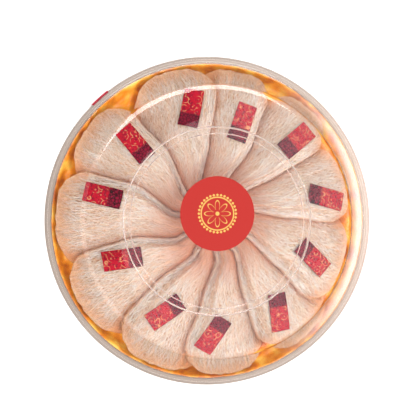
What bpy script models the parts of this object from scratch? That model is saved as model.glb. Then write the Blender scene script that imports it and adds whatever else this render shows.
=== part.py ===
"""A round clear gift box of edible birds' nests, modelled at its real size.

The box is a clear tray with a flange, closed by a clear stepped lid whose skirt hangs over the
tray's edge. A satin lining fills the tray. Eleven nests lie on it like the blades of a pinwheel:
each one's raised lip rests on the tucked side of the neighbour on its clockwise side. Every nest
carries a paper label, the lid carries a round sticker, and a small seal holds lid and tray
together at the rim.

Sizes below are in millimetres and degrees. The origin is the middle of the tray's underside.
"""

import math
from dataclasses import dataclass

import bmesh
import bpy
from mathutils import Vector
from mathutils.bvhtree import BVHTree

MM = 0.001

# Clear box
BOX_RADIUS = 120.0
TURN_STEPS = 56
WALL = 1.2
TOUCH_GAP = 0.3

TRAY_FLOOR_RADIUS = 109.0
TRAY_HEEL_RADIUS = 112.4
TRAY_HEEL_HEIGHT = 3.4
TRAY_HEEL_WIDTH = 1.2
TRAY_WALL = 1.0
TRAY_MOUTH_RADIUS = 116.0
TRAY_FLANGE_RADIUS = 118.4
TRAY_HEIGHT = 21.8

LID_SKIRT_BOTTOM = 17.4
LID_FLANGE_TOP = 23.4
LID_WALL_FOOT_RADIUS = 116.2
LID_SHOULDER_RADIUS = 97.8
LID_SHOULDER_DROP = 5.4
LID_SHOULDER_TURN = 72.0
LID_CROWN_RADIUS = 92.5
LID_STEP_RADIUS = 66.5
LID_RECESS_RADIUS = 62.0
LID_RECESS_DEPTH = 2.6
BOX_HEIGHT = 65.0

# Satin lining
SATIN_UNDERSIDE = 1.6
SATIN_MOUND_HEIGHT = 13.0
SATIN_MOUND_RADIUS = 36.0
SATIN_BED_HEIGHT = 5.3
SATIN_BED_RADIUS = 86.0
SATIN_ROLL_HEIGHT = 16.4
SATIN_ROLL_RADIUS = 107.0
SATIN_SLOPE_HEIGHT = 9.4
SATIN_SHELF_HEIGHT = 14.4
SATIN_OUTER_RADIUS = 110.6
SATIN_STEPS = 36

# Nests
TIP_RADIUS = 18.0
TIP_STRAIGHT_RADIUS = 29.0
NEST_THICKNESS = 3.0
LIP_STRAIGHT_RADIUS = 62.0
LIP_SWING_LENGTH = 30.0
LIP_BOW_LENGTH = 50.0
FLOOR_HEIGHT = 10.2
TIP_FLOOR_HEIGHT = 19.0
TIP_FLOOR_END = 44.0
END_FLOOR_HEIGHT = 21.6
END_FLOOR_START = 86.0
END_FLOOR_FULL = 103.0
CREST_HEIGHT = 45.0
TIP_CREST_HEIGHT = 38.0
TIP_CREST_END = 45.0
END_CREST_HEIGHT = 26.6
CREST_FALL_START = 66.0
CREST_FALL_POWER = 1.6
CREST_SHARE = 0.16
LIP_DROP = 0.30
TUCK_HEIGHT_SHARE = 0.07
TUCK_FALL_POWER = 1.1
INNER_OVERLAP = 1.34
OUTER_OVERLAP = 1.07
END_ROUNDING = 0.10
RIDGE_HEIGHT = 0.6
RIDGE_COUNT = 3.0
REST_GAP = 1.7
LIP_REST_SHARE = 0.15
LIP_STEEPNESS = 0.6
LIP_LAY = 0.85
LIP_OVERHANG = 0.15
COLUMNS = 11
ROWS = 9

# Labels, sticker and seal
LABEL_LENGTH = 28.0
LABEL_WIDTH = 14.0
LABEL_LIFT = 1.0
LABEL_BRIDGE = 2.4
PAPER = 0.3
LABEL_CELLS_ALONG = 4
LABEL_CELLS_ACROSS = 3
STICKER_RADIUS = 26.5
STICKER_OFFSET = 5.3
SEAL_AZIMUTH = 132.0
SEAL_WIDTH = 15.0
SEAL_CELLS = 3

# Finishes: sRGB colour, roughness, how much light goes through
CLEAR = ("clear_plastic", (0.93, 0.94, 0.93), 0.06, 0.9)
SATIN = ("orange_satin", (0.93, 0.52, 0.08), 0.35, 0.0)
STRAND = ("dried_nest_strands", (0.88, 0.76, 0.67), 0.55, 0.0)
LABEL_PAPER = ("crimson_label_paper", (0.78, 0.13, 0.20), 0.5, 0.0)
STICKER_PAPER = ("red_sticker_paper", (0.88, 0.20, 0.15), 0.45, 0.0)


@dataclass(frozen=True)
class Nest:
    """One nest: where its lip lies, how it bends and where its label sits.

    Args:
        name: the node's name.
        lip: azimuth of the raised lip at LIP_STRAIGHT_RADIUS, in degrees.
        pitch: angle from this lip to the next one counterclockwise, in degrees.
        swing: how far the tip swings counterclockwise, in degrees.
        bow: how far the lip bows counterclockwise two thirds of the way out, in degrees.
        reach: distance of the outer end from the box's middle, in millimetres.
        label_radius: distance of the label's middle, in millimetres.
        label_angle: angle from the lip to the label's middle, in degrees.
        label_turn: turn of the label's length away from the radial line, in degrees.
    """

    name: str
    lip: float
    pitch: float
    swing: float
    bow: float
    reach: float
    label_radius: float
    label_angle: float
    label_turn: float


# Clockwise from the top of the box: lip, swing, bow, reach, label radius, angle and turn
NEST_PLACES = [
    (92.5, 13.0, -4.0, 112.5, 83.0, 8.5, -24.0),
    (62.5, 10.0, 1.5, 111.0, 74.0, 11.0, -4.0),
    (35.0, 10.0, -2.0, 110.5, 85.0, 8.5, -5.0),
    (3.5, 12.0, -3.5, 107.0, 85.0, 8.0, -26.0),
    (326.5, 10.0, -5.0, 106.0, 78.0, 13.5, -24.0),
    (294.5, 12.0, -1.0, 111.0, 82.0, 11.5, -27.0),
    (264.5, 13.0, -5.5, 112.5, 82.0, 5.5, -33.0),
    (229.5, 12.0, -1.0, 112.5, 74.0, 12.5, -27.0),
    (193.5, 13.0, 1.0, 112.5, 71.0, 9.0, -14.0),
    (156.0, 12.0, 3.0, 112.5, 82.0, 11.0, -1.0),
    (123.5, 10.0, 2.5, 112.0, 79.0, 12.0, -7.0),
]


def lay_out_nests():
    """Name the nests and work out each one's pitch to its counterclockwise neighbour."""
    nests = []
    for index, (lip, swing, bow, reach, radius, angle, turn) in enumerate(NEST_PLACES):
        next_lip = NEST_PLACES[index - 1][0]
        pitch = (next_lip - lip) % 360.0
        name = f"nest_{index + 1:02d}"
        nests.append(Nest(name, lip, pitch, swing, bow, reach, radius, angle, turn))
    return nests


def smooth_step(value, start, full):
    """Return 0 before start, 1 after full and a smooth rise between them."""
    share = min(1.0, max(0.0, (value - start) / (full - start)))
    return share * share * (3.0 - 2.0 * share)


def lip_angle(nest, radius):
    """Return the azimuth of a nest's raised lip at a distance from the middle."""
    held = max(radius, TIP_STRAIGHT_RADIUS)
    inward = max(0.0, (LIP_STRAIGHT_RADIUS - held) / LIP_SWING_LENGTH)
    outward = max(0.0, (radius - LIP_STRAIGHT_RADIUS) / LIP_BOW_LENGTH)
    return nest.lip + nest.swing * inward ** 2 + nest.bow * math.sin(0.75 * math.pi * outward)


def spread_angle(nest, radius):
    """Return the angle from a nest's raised lip to its tucked edge."""
    share = (radius - TIP_RADIUS) / (nest.reach - TIP_RADIUS)
    return nest.pitch * (INNER_OVERLAP + (OUTER_OVERLAP - INNER_OVERLAP) * share ** 2)


def end_radius(nest, across):
    """Return how far out a nest reaches at a share of its width, rounding its two corners."""
    return nest.reach * (1.0 - END_ROUNDING * abs(2.0 * across - 1.0) ** 4)


def floor_height(radius):
    """Return the height of a nest's tucked edge, which climbs the satin mound and roll."""
    rise = smooth_step(radius, END_FLOOR_START, END_FLOOR_FULL)
    mound = 1.0 - smooth_step(radius, TIP_RADIUS, TIP_FLOOR_END)
    return (FLOOR_HEIGHT + (END_FLOOR_HEIGHT - FLOOR_HEIGHT) * rise
            + (TIP_FLOOR_HEIGHT - FLOOR_HEIGHT) * mound)


def crest_height(nest, radius):
    """Return the height of a nest's highest line, which falls towards both its ends."""
    tip_share = smooth_step(radius, TIP_RADIUS, TIP_CREST_END)
    height = TIP_CREST_HEIGHT + (CREST_HEIGHT - TIP_CREST_HEIGHT) * tip_share
    fall = min(1.0, max(0.0, (radius - CREST_FALL_START) / (nest.reach - CREST_FALL_START)))
    return height + (END_CREST_HEIGHT - height) * fall ** CREST_FALL_POWER


def free_height(nest, radius, across):
    """Return the height of a nest's upper face, before it rests on its neighbour."""
    if across < CREST_SHARE:
        share = 1.0 - LIP_DROP * ((CREST_SHARE - across) / CREST_SHARE) ** 2
    else:
        fall = (across - CREST_SHARE) / (1.0 - CREST_SHARE)
        down = math.cos(0.5 * math.pi * fall ** TUCK_FALL_POWER)
        share = TUCK_HEIGHT_SHARE + (1.0 - TUCK_HEIGHT_SHARE) * down
    low = floor_height(radius)
    ridge = RIDGE_HEIGHT * math.sin(2.0 * math.pi * RIDGE_COUNT * across + math.radians(nest.lip))
    fade = min(1.0, 4.0 * across) * (1.0 - across)
    return low + (crest_height(nest, radius) - low) * share + ridge * fade


def top_height(nest, neighbour, radius, across):
    """Return the height of a nest's upper face, with its lip laid down on the neighbour."""
    height = free_height(nest, radius, across)
    azimuth = lip_angle(nest, radius) + across * spread_angle(nest, radius)
    from_lip = (azimuth - lip_angle(neighbour, radius) + 180.0) % 360.0 - 180.0
    neighbour_across = from_lip / spread_angle(neighbour, radius)
    if across < 0.5:
        below = free_height(neighbour, radius, min(1.0, neighbour_across))
        lip_share = 1.0 - smooth_step(across, 0.0, LIP_REST_SHARE)
        lies_on = 1.0 - smooth_step(neighbour_across, 1.0, 1.0 + LIP_OVERHANG)
        gap = REST_GAP * (2.0 - smooth_step(radius, TIP_RADIUS, TIP_FLOOR_END))
        lift = gap + NEST_THICKNESS * (1.0 + LIP_STEEPNESS * lip_share)
        resting = below + lift * lies_on
        height = max(resting, height + (resting - height) * LIP_LAY * lip_share)
    return height


def polar(radius, azimuth, height):
    """Return a point in metres from a distance, an azimuth and a height."""
    turn = math.radians(azimuth)
    return (radius * math.cos(turn) * MM, radius * math.sin(turn) * MM, height * MM)


def nest_point(nest, neighbour, along, across):
    """Return a point of a nest's upper face from its shares along and across."""
    radius = TIP_RADIUS + (end_radius(nest, across) - TIP_RADIUS) * along
    azimuth = lip_angle(nest, radius) + across * spread_angle(nest, radius)
    return polar(radius, azimuth, top_height(nest, neighbour, radius, across))


def label_point(nest, nest_face, along, across):
    """Return a point of a label, bridging the nest below it, from its shares.

    Args:
        nest_face: search tree of the nest's upper face.
    """
    turn = math.radians(nest.label_turn)
    middle = math.radians(nest.lip + nest.label_angle)
    length = (along - 0.5) * LABEL_LENGTH
    width = (across - 0.5) * LABEL_WIDTH
    outward = nest.label_radius + length * math.cos(turn) - width * math.sin(turn)
    sideways = length * math.sin(turn) + width * math.cos(turn)
    x = outward * math.cos(middle) - sideways * math.sin(middle)
    y = outward * math.sin(middle) + sideways * math.cos(middle)
    heights = []
    for aside_x, aside_y in ((0, 0), (1, 0), (-1, 0), (0, 1), (0, -1)):
        start = Vector((x + aside_x * LABEL_BRIDGE, y + aside_y * LABEL_BRIDGE, BOX_HEIGHT)) * MM
        hit = nest_face.ray_cast(start, Vector((0.0, 0.0, -1.0)))[0]
        if hit is not None:
            heights.append(hit.z)
    return (x * MM, y * MM, max(heights) + LABEL_LIFT * MM)


def make_collection(name):
    """Return a new collection linked to the scene."""
    collection = bpy.data.collections.new(name)
    bpy.context.scene.collection.children.link(collection)
    return collection


def to_linear(channel):
    """Return a linear value for one sRGB channel."""
    return channel / 12.92 if channel <= 0.04045 else ((channel + 0.055) / 1.055) ** 2.4


def make_material(finish):
    """Return a Principled material of a finish, made once and then shared."""
    name, colour, roughness, through = finish
    material = bpy.data.materials.get(name)
    if material is None:
        material = bpy.data.materials.new(name)
        material.use_nodes = True
        shader = material.node_tree.nodes["Principled BSDF"]
        linear = [to_linear(channel) for channel in colour]
        shader.inputs["Base Color"].default_value = (*linear, 1.0)
        shader.inputs["Roughness"].default_value = roughness
        shader.inputs["Transmission Weight"].default_value = through
        material.diffuse_color = (*linear, 1.0)
    return material


def add_object(name, mesh, collection, finish):
    """Link a new object, give it its finish and shade it smooth but for sharp edges."""
    item = bpy.data.objects.new(name, mesh)
    collection.objects.link(item)
    mesh.materials.append(make_material(finish))
    mesh.shade_smooth()
    mesh.set_sharp_from_angle(angle=math.radians(40.0))
    return item


def add_sheet(name, rows, columns, place, collection, finish, thickness):
    """Add a shell: a grid bent by a function of its two shares, then made thick below.

    Args:
        place: function from the share along and the share across to a point in metres.
        thickness: how far the shell goes below the bent grid, in metres.
    """
    shape = bmesh.new()
    bmesh.ops.create_grid(shape, x_segments=rows, y_segments=columns, size=0.5)
    for corner in shape.verts:
        corner.co = place(corner.co.x + 0.5, corner.co.y + 0.5)
    mesh = bpy.data.meshes.new(name)
    shape.to_mesh(mesh)
    shape.free()
    item = add_object(name, mesh, collection, finish)
    shell = item.modifiers.new("thickness", "SOLIDIFY")
    shell.thickness = thickness
    shell.offset = -1.0
    return item


def add_turned(name, profile, steps, collection, finish):
    """Add a solid turned about the vertical axis from a profile of (radius, height)."""
    mesh = bpy.data.meshes.new(name)
    points = [(radius * MM, 0.0, height * MM) for radius, height in profile]
    edges = [(index, index + 1) for index in range(len(points) - 1)]
    mesh.from_pydata(points, edges, [])
    item = add_object(name, mesh, collection, finish)
    turning = item.modifiers.new("turning", "SCREW")
    turning.axis = "Z"
    turning.steps = steps
    turning.render_steps = steps
    turning.use_merge_vertices = True
    turning.merge_threshold = 0.0001
    turning.use_smooth_shade = True
    return item


def shoulder_curve(inset):
    """Return the lid's rounded shoulder, from the crown down to the wall, set in by inset."""
    drop = LID_SHOULDER_DROP - inset * 0.2
    width = LID_SHOULDER_RADIUS - LID_CROWN_RADIUS - inset * 0.6
    points = []
    full_turn = math.radians(LID_SHOULDER_TURN)
    for share in (0.0, 0.5, 1.0):
        turn = full_turn * share
        radius = LID_CROWN_RADIUS + width * math.sin(turn) / math.sin(full_turn)
        fall = drop * (1.0 - math.cos(turn)) / (1.0 - math.cos(full_turn))
        points.append((radius, BOX_HEIGHT - inset - fall))
    return points


def build_tray(collection):
    """Turn the clear tray: flat underside, rounded heel, leaning wall and flange."""
    inner_heel_radius = TRAY_HEEL_RADIUS - TRAY_WALL - 0.5 * TRAY_HEEL_WIDTH
    profile = [
        (0.0, WALL),
        (TRAY_FLOOR_RADIUS - 0.5 * TRAY_HEEL_WIDTH, WALL),
        (inner_heel_radius, TRAY_HEEL_HEIGHT - TRAY_HEEL_WIDTH),
        (TRAY_MOUTH_RADIUS - TRAY_WALL, TRAY_HEIGHT),
        (TRAY_FLANGE_RADIUS, TRAY_HEIGHT),
        (TRAY_FLANGE_RADIUS, TRAY_HEIGHT - WALL),
        (TRAY_MOUTH_RADIUS, TRAY_HEIGHT - WALL),
        (TRAY_HEEL_RADIUS, TRAY_HEEL_HEIGHT),
        (TRAY_HEEL_RADIUS - TRAY_HEEL_WIDTH, 0.75 * TRAY_HEEL_WIDTH),
        (TRAY_FLOOR_RADIUS, 0.0),
        (0.0, 0.0),
    ]
    return add_turned("base_tray", profile, TURN_STEPS, collection, CLEAR)


def build_lid(collection):
    """Turn the clear lid: recess, raised crown, shoulder, sloping wall, flange and skirt."""
    recess_top = BOX_HEIGHT - LID_RECESS_DEPTH
    flange_underside = LID_FLANGE_TOP - WALL
    outside = [(0.0, recess_top), (LID_RECESS_RADIUS, recess_top), (LID_STEP_RADIUS, BOX_HEIGHT)]
    outside += shoulder_curve(0.0)
    outside += [(LID_WALL_FOOT_RADIUS, LID_FLANGE_TOP), (BOX_RADIUS, LID_FLANGE_TOP)]
    outside += [(BOX_RADIUS, LID_SKIRT_BOTTOM)]
    inside = [(BOX_RADIUS - WALL, LID_SKIRT_BOTTOM), (BOX_RADIUS - WALL, flange_underside)]
    inside += [(LID_WALL_FOOT_RADIUS - WALL, flange_underside)]
    inside += reversed(shoulder_curve(WALL))
    inside += [(LID_STEP_RADIUS + 0.3, BOX_HEIGHT - WALL), (LID_RECESS_RADIUS + 0.3, recess_top - WALL)]
    inside += [(0.0, recess_top - WALL)]
    return add_turned("lid", outside + inside, TURN_STEPS, collection, CLEAR)


def build_satin(collection):
    """Turn the satin lining: a flat bed whose edge puffs up into a roll along the wall."""
    profile = [
        (0.0, SATIN_MOUND_HEIGHT),
        (SATIN_MOUND_RADIUS * 0.4, SATIN_MOUND_HEIGHT - 1.6),
        (SATIN_MOUND_RADIUS, SATIN_BED_HEIGHT),
        (SATIN_BED_RADIUS, SATIN_BED_HEIGHT),
        (SATIN_BED_RADIUS + 9.0, SATIN_SLOPE_HEIGHT),
        (SATIN_ROLL_RADIUS - 6.0, SATIN_SHELF_HEIGHT),
        (SATIN_ROLL_RADIUS, SATIN_ROLL_HEIGHT),
        (SATIN_ROLL_RADIUS + 4.4, SATIN_ROLL_HEIGHT - 1.4),
        (SATIN_ROLL_RADIUS + 5.2, SATIN_ROLL_HEIGHT - 5.0),
        (SATIN_OUTER_RADIUS - 0.6, 3.6),
        (SATIN_OUTER_RADIUS - 3.4, SATIN_UNDERSIDE),
        (0.0, SATIN_UNDERSIDE),
    ]
    return add_turned("satin_lining", profile, SATIN_STEPS, collection, SATIN)


def build_nest(nest, neighbour, collection):
    """Bend one nest's shell from its tip, over its crest, to its rounded outer end."""
    def place(along, across):
        eased = 1.0 - (1.0 - along) ** 1.25
        return nest_point(nest, neighbour, eased, across ** 1.3)

    thickness = NEST_THICKNESS * MM
    return add_sheet(nest.name, ROWS, COLUMNS, place, collection, STRAND, thickness)


def build_label(nest, nest_object, collection):
    """Lay one paper label over its nest."""
    mesh = nest_object.data
    corners = [corner.co for corner in mesh.vertices]
    nest_face = BVHTree.FromPolygons(corners, [face.vertices[:] for face in mesh.polygons])

    def place(along, across):
        return label_point(nest, nest_face, along, across)

    name = nest.name.replace("nest", "label")
    return add_sheet(name, LABEL_CELLS_ALONG, LABEL_CELLS_ACROSS, place, collection,
                     LABEL_PAPER, PAPER * MM)


def build_sticker(collection):
    """Lay the round sticker on the lid's recess."""
    height = BOX_HEIGHT - LID_RECESS_DEPTH + TOUCH_GAP + 0.5 * PAPER
    shape = bmesh.new()
    bmesh.ops.create_cone(shape, cap_ends=True, segments=48, radius1=STICKER_RADIUS * MM,
                          radius2=STICKER_RADIUS * MM, depth=PAPER * MM)
    mesh = bpy.data.meshes.new("round_sticker")
    shape.to_mesh(mesh)
    shape.free()
    item = add_object("round_sticker", mesh, collection, STICKER_PAPER)
    item.location = (0.0, STICKER_OFFSET * MM, height * MM)
    return item


def build_seal(collection):
    """Fold the small seal over the lid's edge and down to the tray's wall."""
    stand_off = TOUCH_GAP + PAPER
    path = [
        (BOX_RADIUS - 2.8, LID_FLANGE_TOP + stand_off),
        (BOX_RADIUS + stand_off - 0.2, LID_FLANGE_TOP + stand_off),
        (BOX_RADIUS + stand_off, LID_FLANGE_TOP + stand_off - 0.5),
        (BOX_RADIUS + stand_off, LID_SKIRT_BOTTOM - 0.2),
        (TRAY_MOUTH_RADIUS + 0.9, LID_SKIRT_BOTTOM - 4.6),
        (TRAY_MOUTH_RADIUS - 0.9, LID_SKIRT_BOTTOM - 8.4),
    ]
    half_turn = math.degrees(0.5 * SEAL_WIDTH / BOX_RADIUS)

    def place(along, across):
        radius, height = path[round(along * (len(path) - 1))]
        return polar(radius, SEAL_AZIMUTH + half_turn * (2.0 * across - 1.0), height)

    return add_sheet("rim_seal", len(path) - 1, SEAL_CELLS, place, collection, STICKER_PAPER,
                     PAPER * MM)


def main():
    """Clear the scene and build every piece of the box."""
    for item in list(bpy.data.objects):
        bpy.data.objects.remove(item, do_unlink=True)
    collection = make_collection("boxed_birds_nests")
    build_tray(collection)
    build_satin(collection)
    nests = lay_out_nests()
    for index, nest in enumerate(nests):
        neighbour = nests[(index + 1) % len(nests)]
        nest_object = build_nest(nest, neighbour, collection)
        build_label(nest, nest_object, collection)
    build_lid(collection)
    build_sticker(collection)
    build_seal(collection)


main()
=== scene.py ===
"""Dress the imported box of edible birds' nests: strands, satin, paper, clear plastic and studio.

Every length below is in millimetres unless its name says otherwise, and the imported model's frame
is in metres, so points pass through MM on their way into a mesh.
"""

import logging
import math
from dataclasses import dataclass
from enum import Enum
from functools import partial

import bpy
import numpy as np
from mathutils import Matrix, Vector

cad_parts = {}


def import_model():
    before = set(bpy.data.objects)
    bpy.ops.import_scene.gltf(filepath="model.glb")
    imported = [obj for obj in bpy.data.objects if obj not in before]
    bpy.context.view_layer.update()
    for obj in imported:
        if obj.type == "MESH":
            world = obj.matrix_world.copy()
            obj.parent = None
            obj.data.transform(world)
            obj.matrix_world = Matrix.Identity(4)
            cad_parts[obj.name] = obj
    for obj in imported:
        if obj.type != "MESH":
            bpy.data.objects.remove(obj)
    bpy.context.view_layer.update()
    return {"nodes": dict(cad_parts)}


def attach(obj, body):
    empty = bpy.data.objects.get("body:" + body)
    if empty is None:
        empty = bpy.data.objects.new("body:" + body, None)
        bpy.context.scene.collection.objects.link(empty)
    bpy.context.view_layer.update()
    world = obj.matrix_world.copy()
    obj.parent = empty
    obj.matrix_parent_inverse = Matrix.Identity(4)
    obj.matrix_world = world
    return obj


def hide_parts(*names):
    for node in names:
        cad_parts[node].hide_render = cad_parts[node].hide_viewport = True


MM = 0.001
BODY = "root"
FIRST_SEED = 4100
SHARP_DEGREES = 32.0
LOG = logging.getLogger("boxed_birds_nests")

Array = np.ndarray
Socket = bpy.types.NodeSocket


def to_linear(code: str) -> tuple[float, float, float, float]:
    """Turn an sRGB hex code into a linear colour.

    Args:
        code: six hex digits, with or without a leading hash.

    Returns:
        Linear red, green, blue and an alpha of one.
    """
    digits = code.lstrip("#")
    channels = [int(digits[start:start + 2], 16) / 255.0 for start in (0, 2, 4)]
    linear = [c / 12.92 if c <= 0.04045 else ((c + 0.055) / 1.055) ** 2.4 for c in channels]
    return (linear[0], linear[1], linear[2], 1.0)


def add_node(tree: bpy.types.NodeTree, kind: str, inputs: dict | None = None, **settings):
    """Add a shader node with its settings, values and links.

    Args:
        tree: node tree that gets the node.
        kind: Blender's name of the node type.
        inputs: a value or a socket to link for each input, by name or number.
        **settings: the node's own properties.

    Returns:
        The new node.
    """
    node = tree.nodes.new(kind)
    for name, value in settings.items():
        setattr(node, name, value)
    for key, value in (inputs or {}).items():
        if isinstance(value, Socket):
            tree.links.new(value, node.inputs[key])
        else:
            node.inputs[key].default_value = value
    return node


def sum_of(tree: bpy.types.NodeTree, operation: str, *values: Socket | float,
           clamped: bool = False) -> Socket:
    """Add a node that works out one sum.

    Args:
        tree: node tree that gets the node.
        operation: Blender's name of the operation.
        *values: a number or a socket for each term.
        clamped: whether the result is held between 0 and 1.

    Returns:
        The result's socket.
    """
    return add_node(tree, "ShaderNodeMath", dict(enumerate(values)),
                    operation=operation, use_clamp=clamped).outputs[0]


def new_finish(name: str) -> tuple[bpy.types.Material, bpy.types.NodeTree, bpy.types.ShaderNode]:
    """Return a new material with its node tree and its main shader."""
    material = bpy.data.materials.new(name)
    material.use_nodes = True
    return material, material.node_tree, material.node_tree.nodes["Principled BSDF"]


def colour_ramp(tree: bpy.types.NodeTree, share: Socket, stops: list[tuple[float, str]]) -> Socket:
    """Add a colour ramp.

    Args:
        tree: node tree that gets the ramp.
        share: socket that the ramp reads.
        stops: place and sRGB hex code of each stop, in order.

    Returns:
        The ramp's colour socket.
    """
    node = add_node(tree, "ShaderNodeValToRGB", {"Fac": share})
    elements = node.color_ramp.elements
    while len(elements) < len(stops):
        elements.new(0.5)
    for element, (place, code) in zip(elements, stops):
        element.position = place
        element.color = to_linear(code)
    return node.outputs["Color"]


def smooth_step(value: Array, start: float, full: float) -> Array:
    """Return 0 before start, 1 after full and a smooth rise between them."""
    share = np.clip((value - start) / (full - start), 0.0, 1.0)
    return share * share * (3.0 - 2.0 * share)


def polar(radius: Array, azimuth: Array, height: Array) -> Array:
    """Return points from distances, azimuths in degrees and heights."""
    turn = np.radians(azimuth)
    return np.stack(np.broadcast_arrays(radius * np.cos(turn), radius * np.sin(turn), height), axis=-1)


def wrapped(degrees: Array) -> Array:
    """Return angles brought into the range from -180 to 180 degrees."""
    return (degrees + 180.0) % 360.0 - 180.0


def unit(vectors: Array) -> Array:
    """Return vectors scaled to a length of one."""
    return vectors / np.maximum(np.linalg.norm(vectors, axis=-1, keepdims=True), 1e-9)


def make_mesh(name: str, points: Array, quads: Array, loops: list[list[int]] | None = None,
              uv: Array | None = None, shares: dict[str, Array] | None = None) -> bpy.types.Object:
    """Make a mesh object from arrays.

    Args:
        name: name of the object.
        points: vertex places in millimetres, one row each.
        quads: vertex numbers of four-sided faces, one row each.
        loops: vertex numbers of further faces of any size.
        uv: flat place of each vertex, one row each.
        shares: named numbers for each vertex, kept as attributes for the material.

    Returns:
        The new object, linked to the scene and shaded smooth.
    """
    mesh = bpy.data.meshes.new(name)
    others = loops or []
    sizes = np.concatenate([np.full(len(quads), 4), np.array([len(f) for f in others], int)])
    corners = np.concatenate([quads.ravel(), np.array([i for f in others for i in f], int)])
    starts = np.concatenate([[0], np.cumsum(sizes)[:-1]])
    mesh.vertices.add(len(points))
    mesh.vertices.foreach_set("co", (points * MM).astype(np.float32).ravel())
    mesh.loops.add(len(corners))
    mesh.loops.foreach_set("vertex_index", corners.astype(np.int32))
    mesh.polygons.add(len(sizes))
    mesh.polygons.foreach_set("loop_start", starts.astype(np.int32))
    mesh.update(calc_edges=True)
    mesh.shade_smooth()
    if uv is not None:
        layer = mesh.uv_layers.new(name="flat")
        layer.data.foreach_set("uv", uv[corners.astype(int)].astype(np.float32).ravel())
    for label, values in (shares or {}).items():
        attribute = mesh.attributes.new(label, "FLOAT", "POINT")
        attribute.data.foreach_set("value", values.astype(np.float32).ravel())
    item = bpy.data.objects.new(name, mesh)
    bpy.context.scene.collection.objects.link(item)
    return item


def grid_quads(rows: int, columns: int, start: int = 0) -> Array:
    """Return the faces of a grid whose points are numbered row by row.

    Args:
        rows: number of points along.
        columns: number of points across.
        start: number of the first point.

    Returns:
        Four vertex numbers for each face.
    """
    number = start + np.arange(rows * columns).reshape(rows, columns)
    sides = (number[:-1, :-1], number[1:, :-1], number[1:, 1:], number[:-1, 1:])
    return np.stack(sides, axis=-1).reshape(-1, 4)


def slab(top: Array, bottom: Array) -> tuple[Array, Array]:
    """Close a thin form between two grids of points.

    Args:
        top: upper points, shaped rows by columns by three.
        bottom: lower points of the same shape.

    Returns:
        The points as one list, and the faces round the whole form.
    """
    rows, columns = top.shape[:2]
    count = rows * columns
    number = np.arange(count).reshape(rows, columns)
    rim = np.concatenate([number[0, :-1], number[:-1, -1], number[-1, :0:-1], number[:0:-1, 0]])
    after = np.roll(rim, -1)
    wall = np.stack([after, rim, rim + count, after + count], axis=-1)
    under = grid_quads(rows, columns, count)[:, ::-1]
    quads = np.concatenate([grid_quads(rows, columns), under, wall])
    return np.concatenate([top.reshape(-1, 3), bottom.reshape(-1, 3)]), quads


@dataclass(frozen=True)
class ClearPolystyrene:
    """General-purpose polystyrene, injection moulded and polished.

    It gives the eye a hard, water-clear wall with bright edges and sharp window reflections.
    """

    name: str = "clear_polystyrene_moulded"
    tint: str = "#FCFCFA"
    ior: float = 1.57
    roughness: float = 0.02
    rim_tint: str = "#BEB0A6"
    rim_clearness: float = 0.55
    # Pale part-clear finish that paints highlights on the lid's step and bead
    painted_highlight_tint: str = "#FBF3EE"
    painted_highlight_clearness: float = 0.8
    dull_roughness: float = 0.2
    ripple_mm: float = 22.0
    ripple_strength: float = 0.015
    ripple_height_mm: float = 2.0

    def build(self) -> bpy.types.Material:
        """Return the material of the thin clear walls."""
        return self.make(self.name, self.tint, 1.0, self.roughness)

    def build_rim(self) -> bpy.types.Material:
        """Return the material of the doubled rim, which looks milky where it is seen on edge."""
        return self.make(f"{self.name}_rim", self.rim_tint, self.rim_clearness, self.dull_roughness)

    def build_painted_highlight_ring(self) -> bpy.types.Material:
        """Return the pale part-clear material that paints highlights on the lid's step and bead, and that a
        thin line on the flange top takes too.
        """
        return self.make(f"{self.name}_ring", self.painted_highlight_tint, self.painted_highlight_clearness, self.dull_roughness)

    def make(self, name: str, tint: str, clearness: float, roughness: float) -> bpy.types.Material:
        """Make a clear plastic.

        Args:
            name: name of the material.
            tint: sRGB hex code of what passes through.
            clearness: share of the light that passes through.
            roughness: roughness of the surface.

        Returns:
            The material.
        """
        material, tree, shader = new_finish(name)
        shader.inputs["Base Color"].default_value = to_linear(tint)
        shader.inputs["Transmission Weight"].default_value = clearness
        shader.inputs["IOR"].default_value = self.ior
        shader.inputs["Roughness"].default_value = roughness
        place = add_node(tree, "ShaderNodeTexCoord")
        # Slow moulding flow, which makes reflections waver a little
        flow = add_node(tree, "ShaderNodeTexNoise", {
            "Vector": place.outputs["Object"], "Scale": 1.0 / (self.ripple_mm * MM), "Detail": 1.0})
        bump = add_node(tree, "ShaderNodeBump", {
            "Height": flow.outputs["Fac"], "Strength": self.ripple_strength,
            "Distance": self.ripple_height_mm * MM})
        tree.links.new(bump.outputs["Normal"], shader.inputs["Normal"])
        return material


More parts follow.
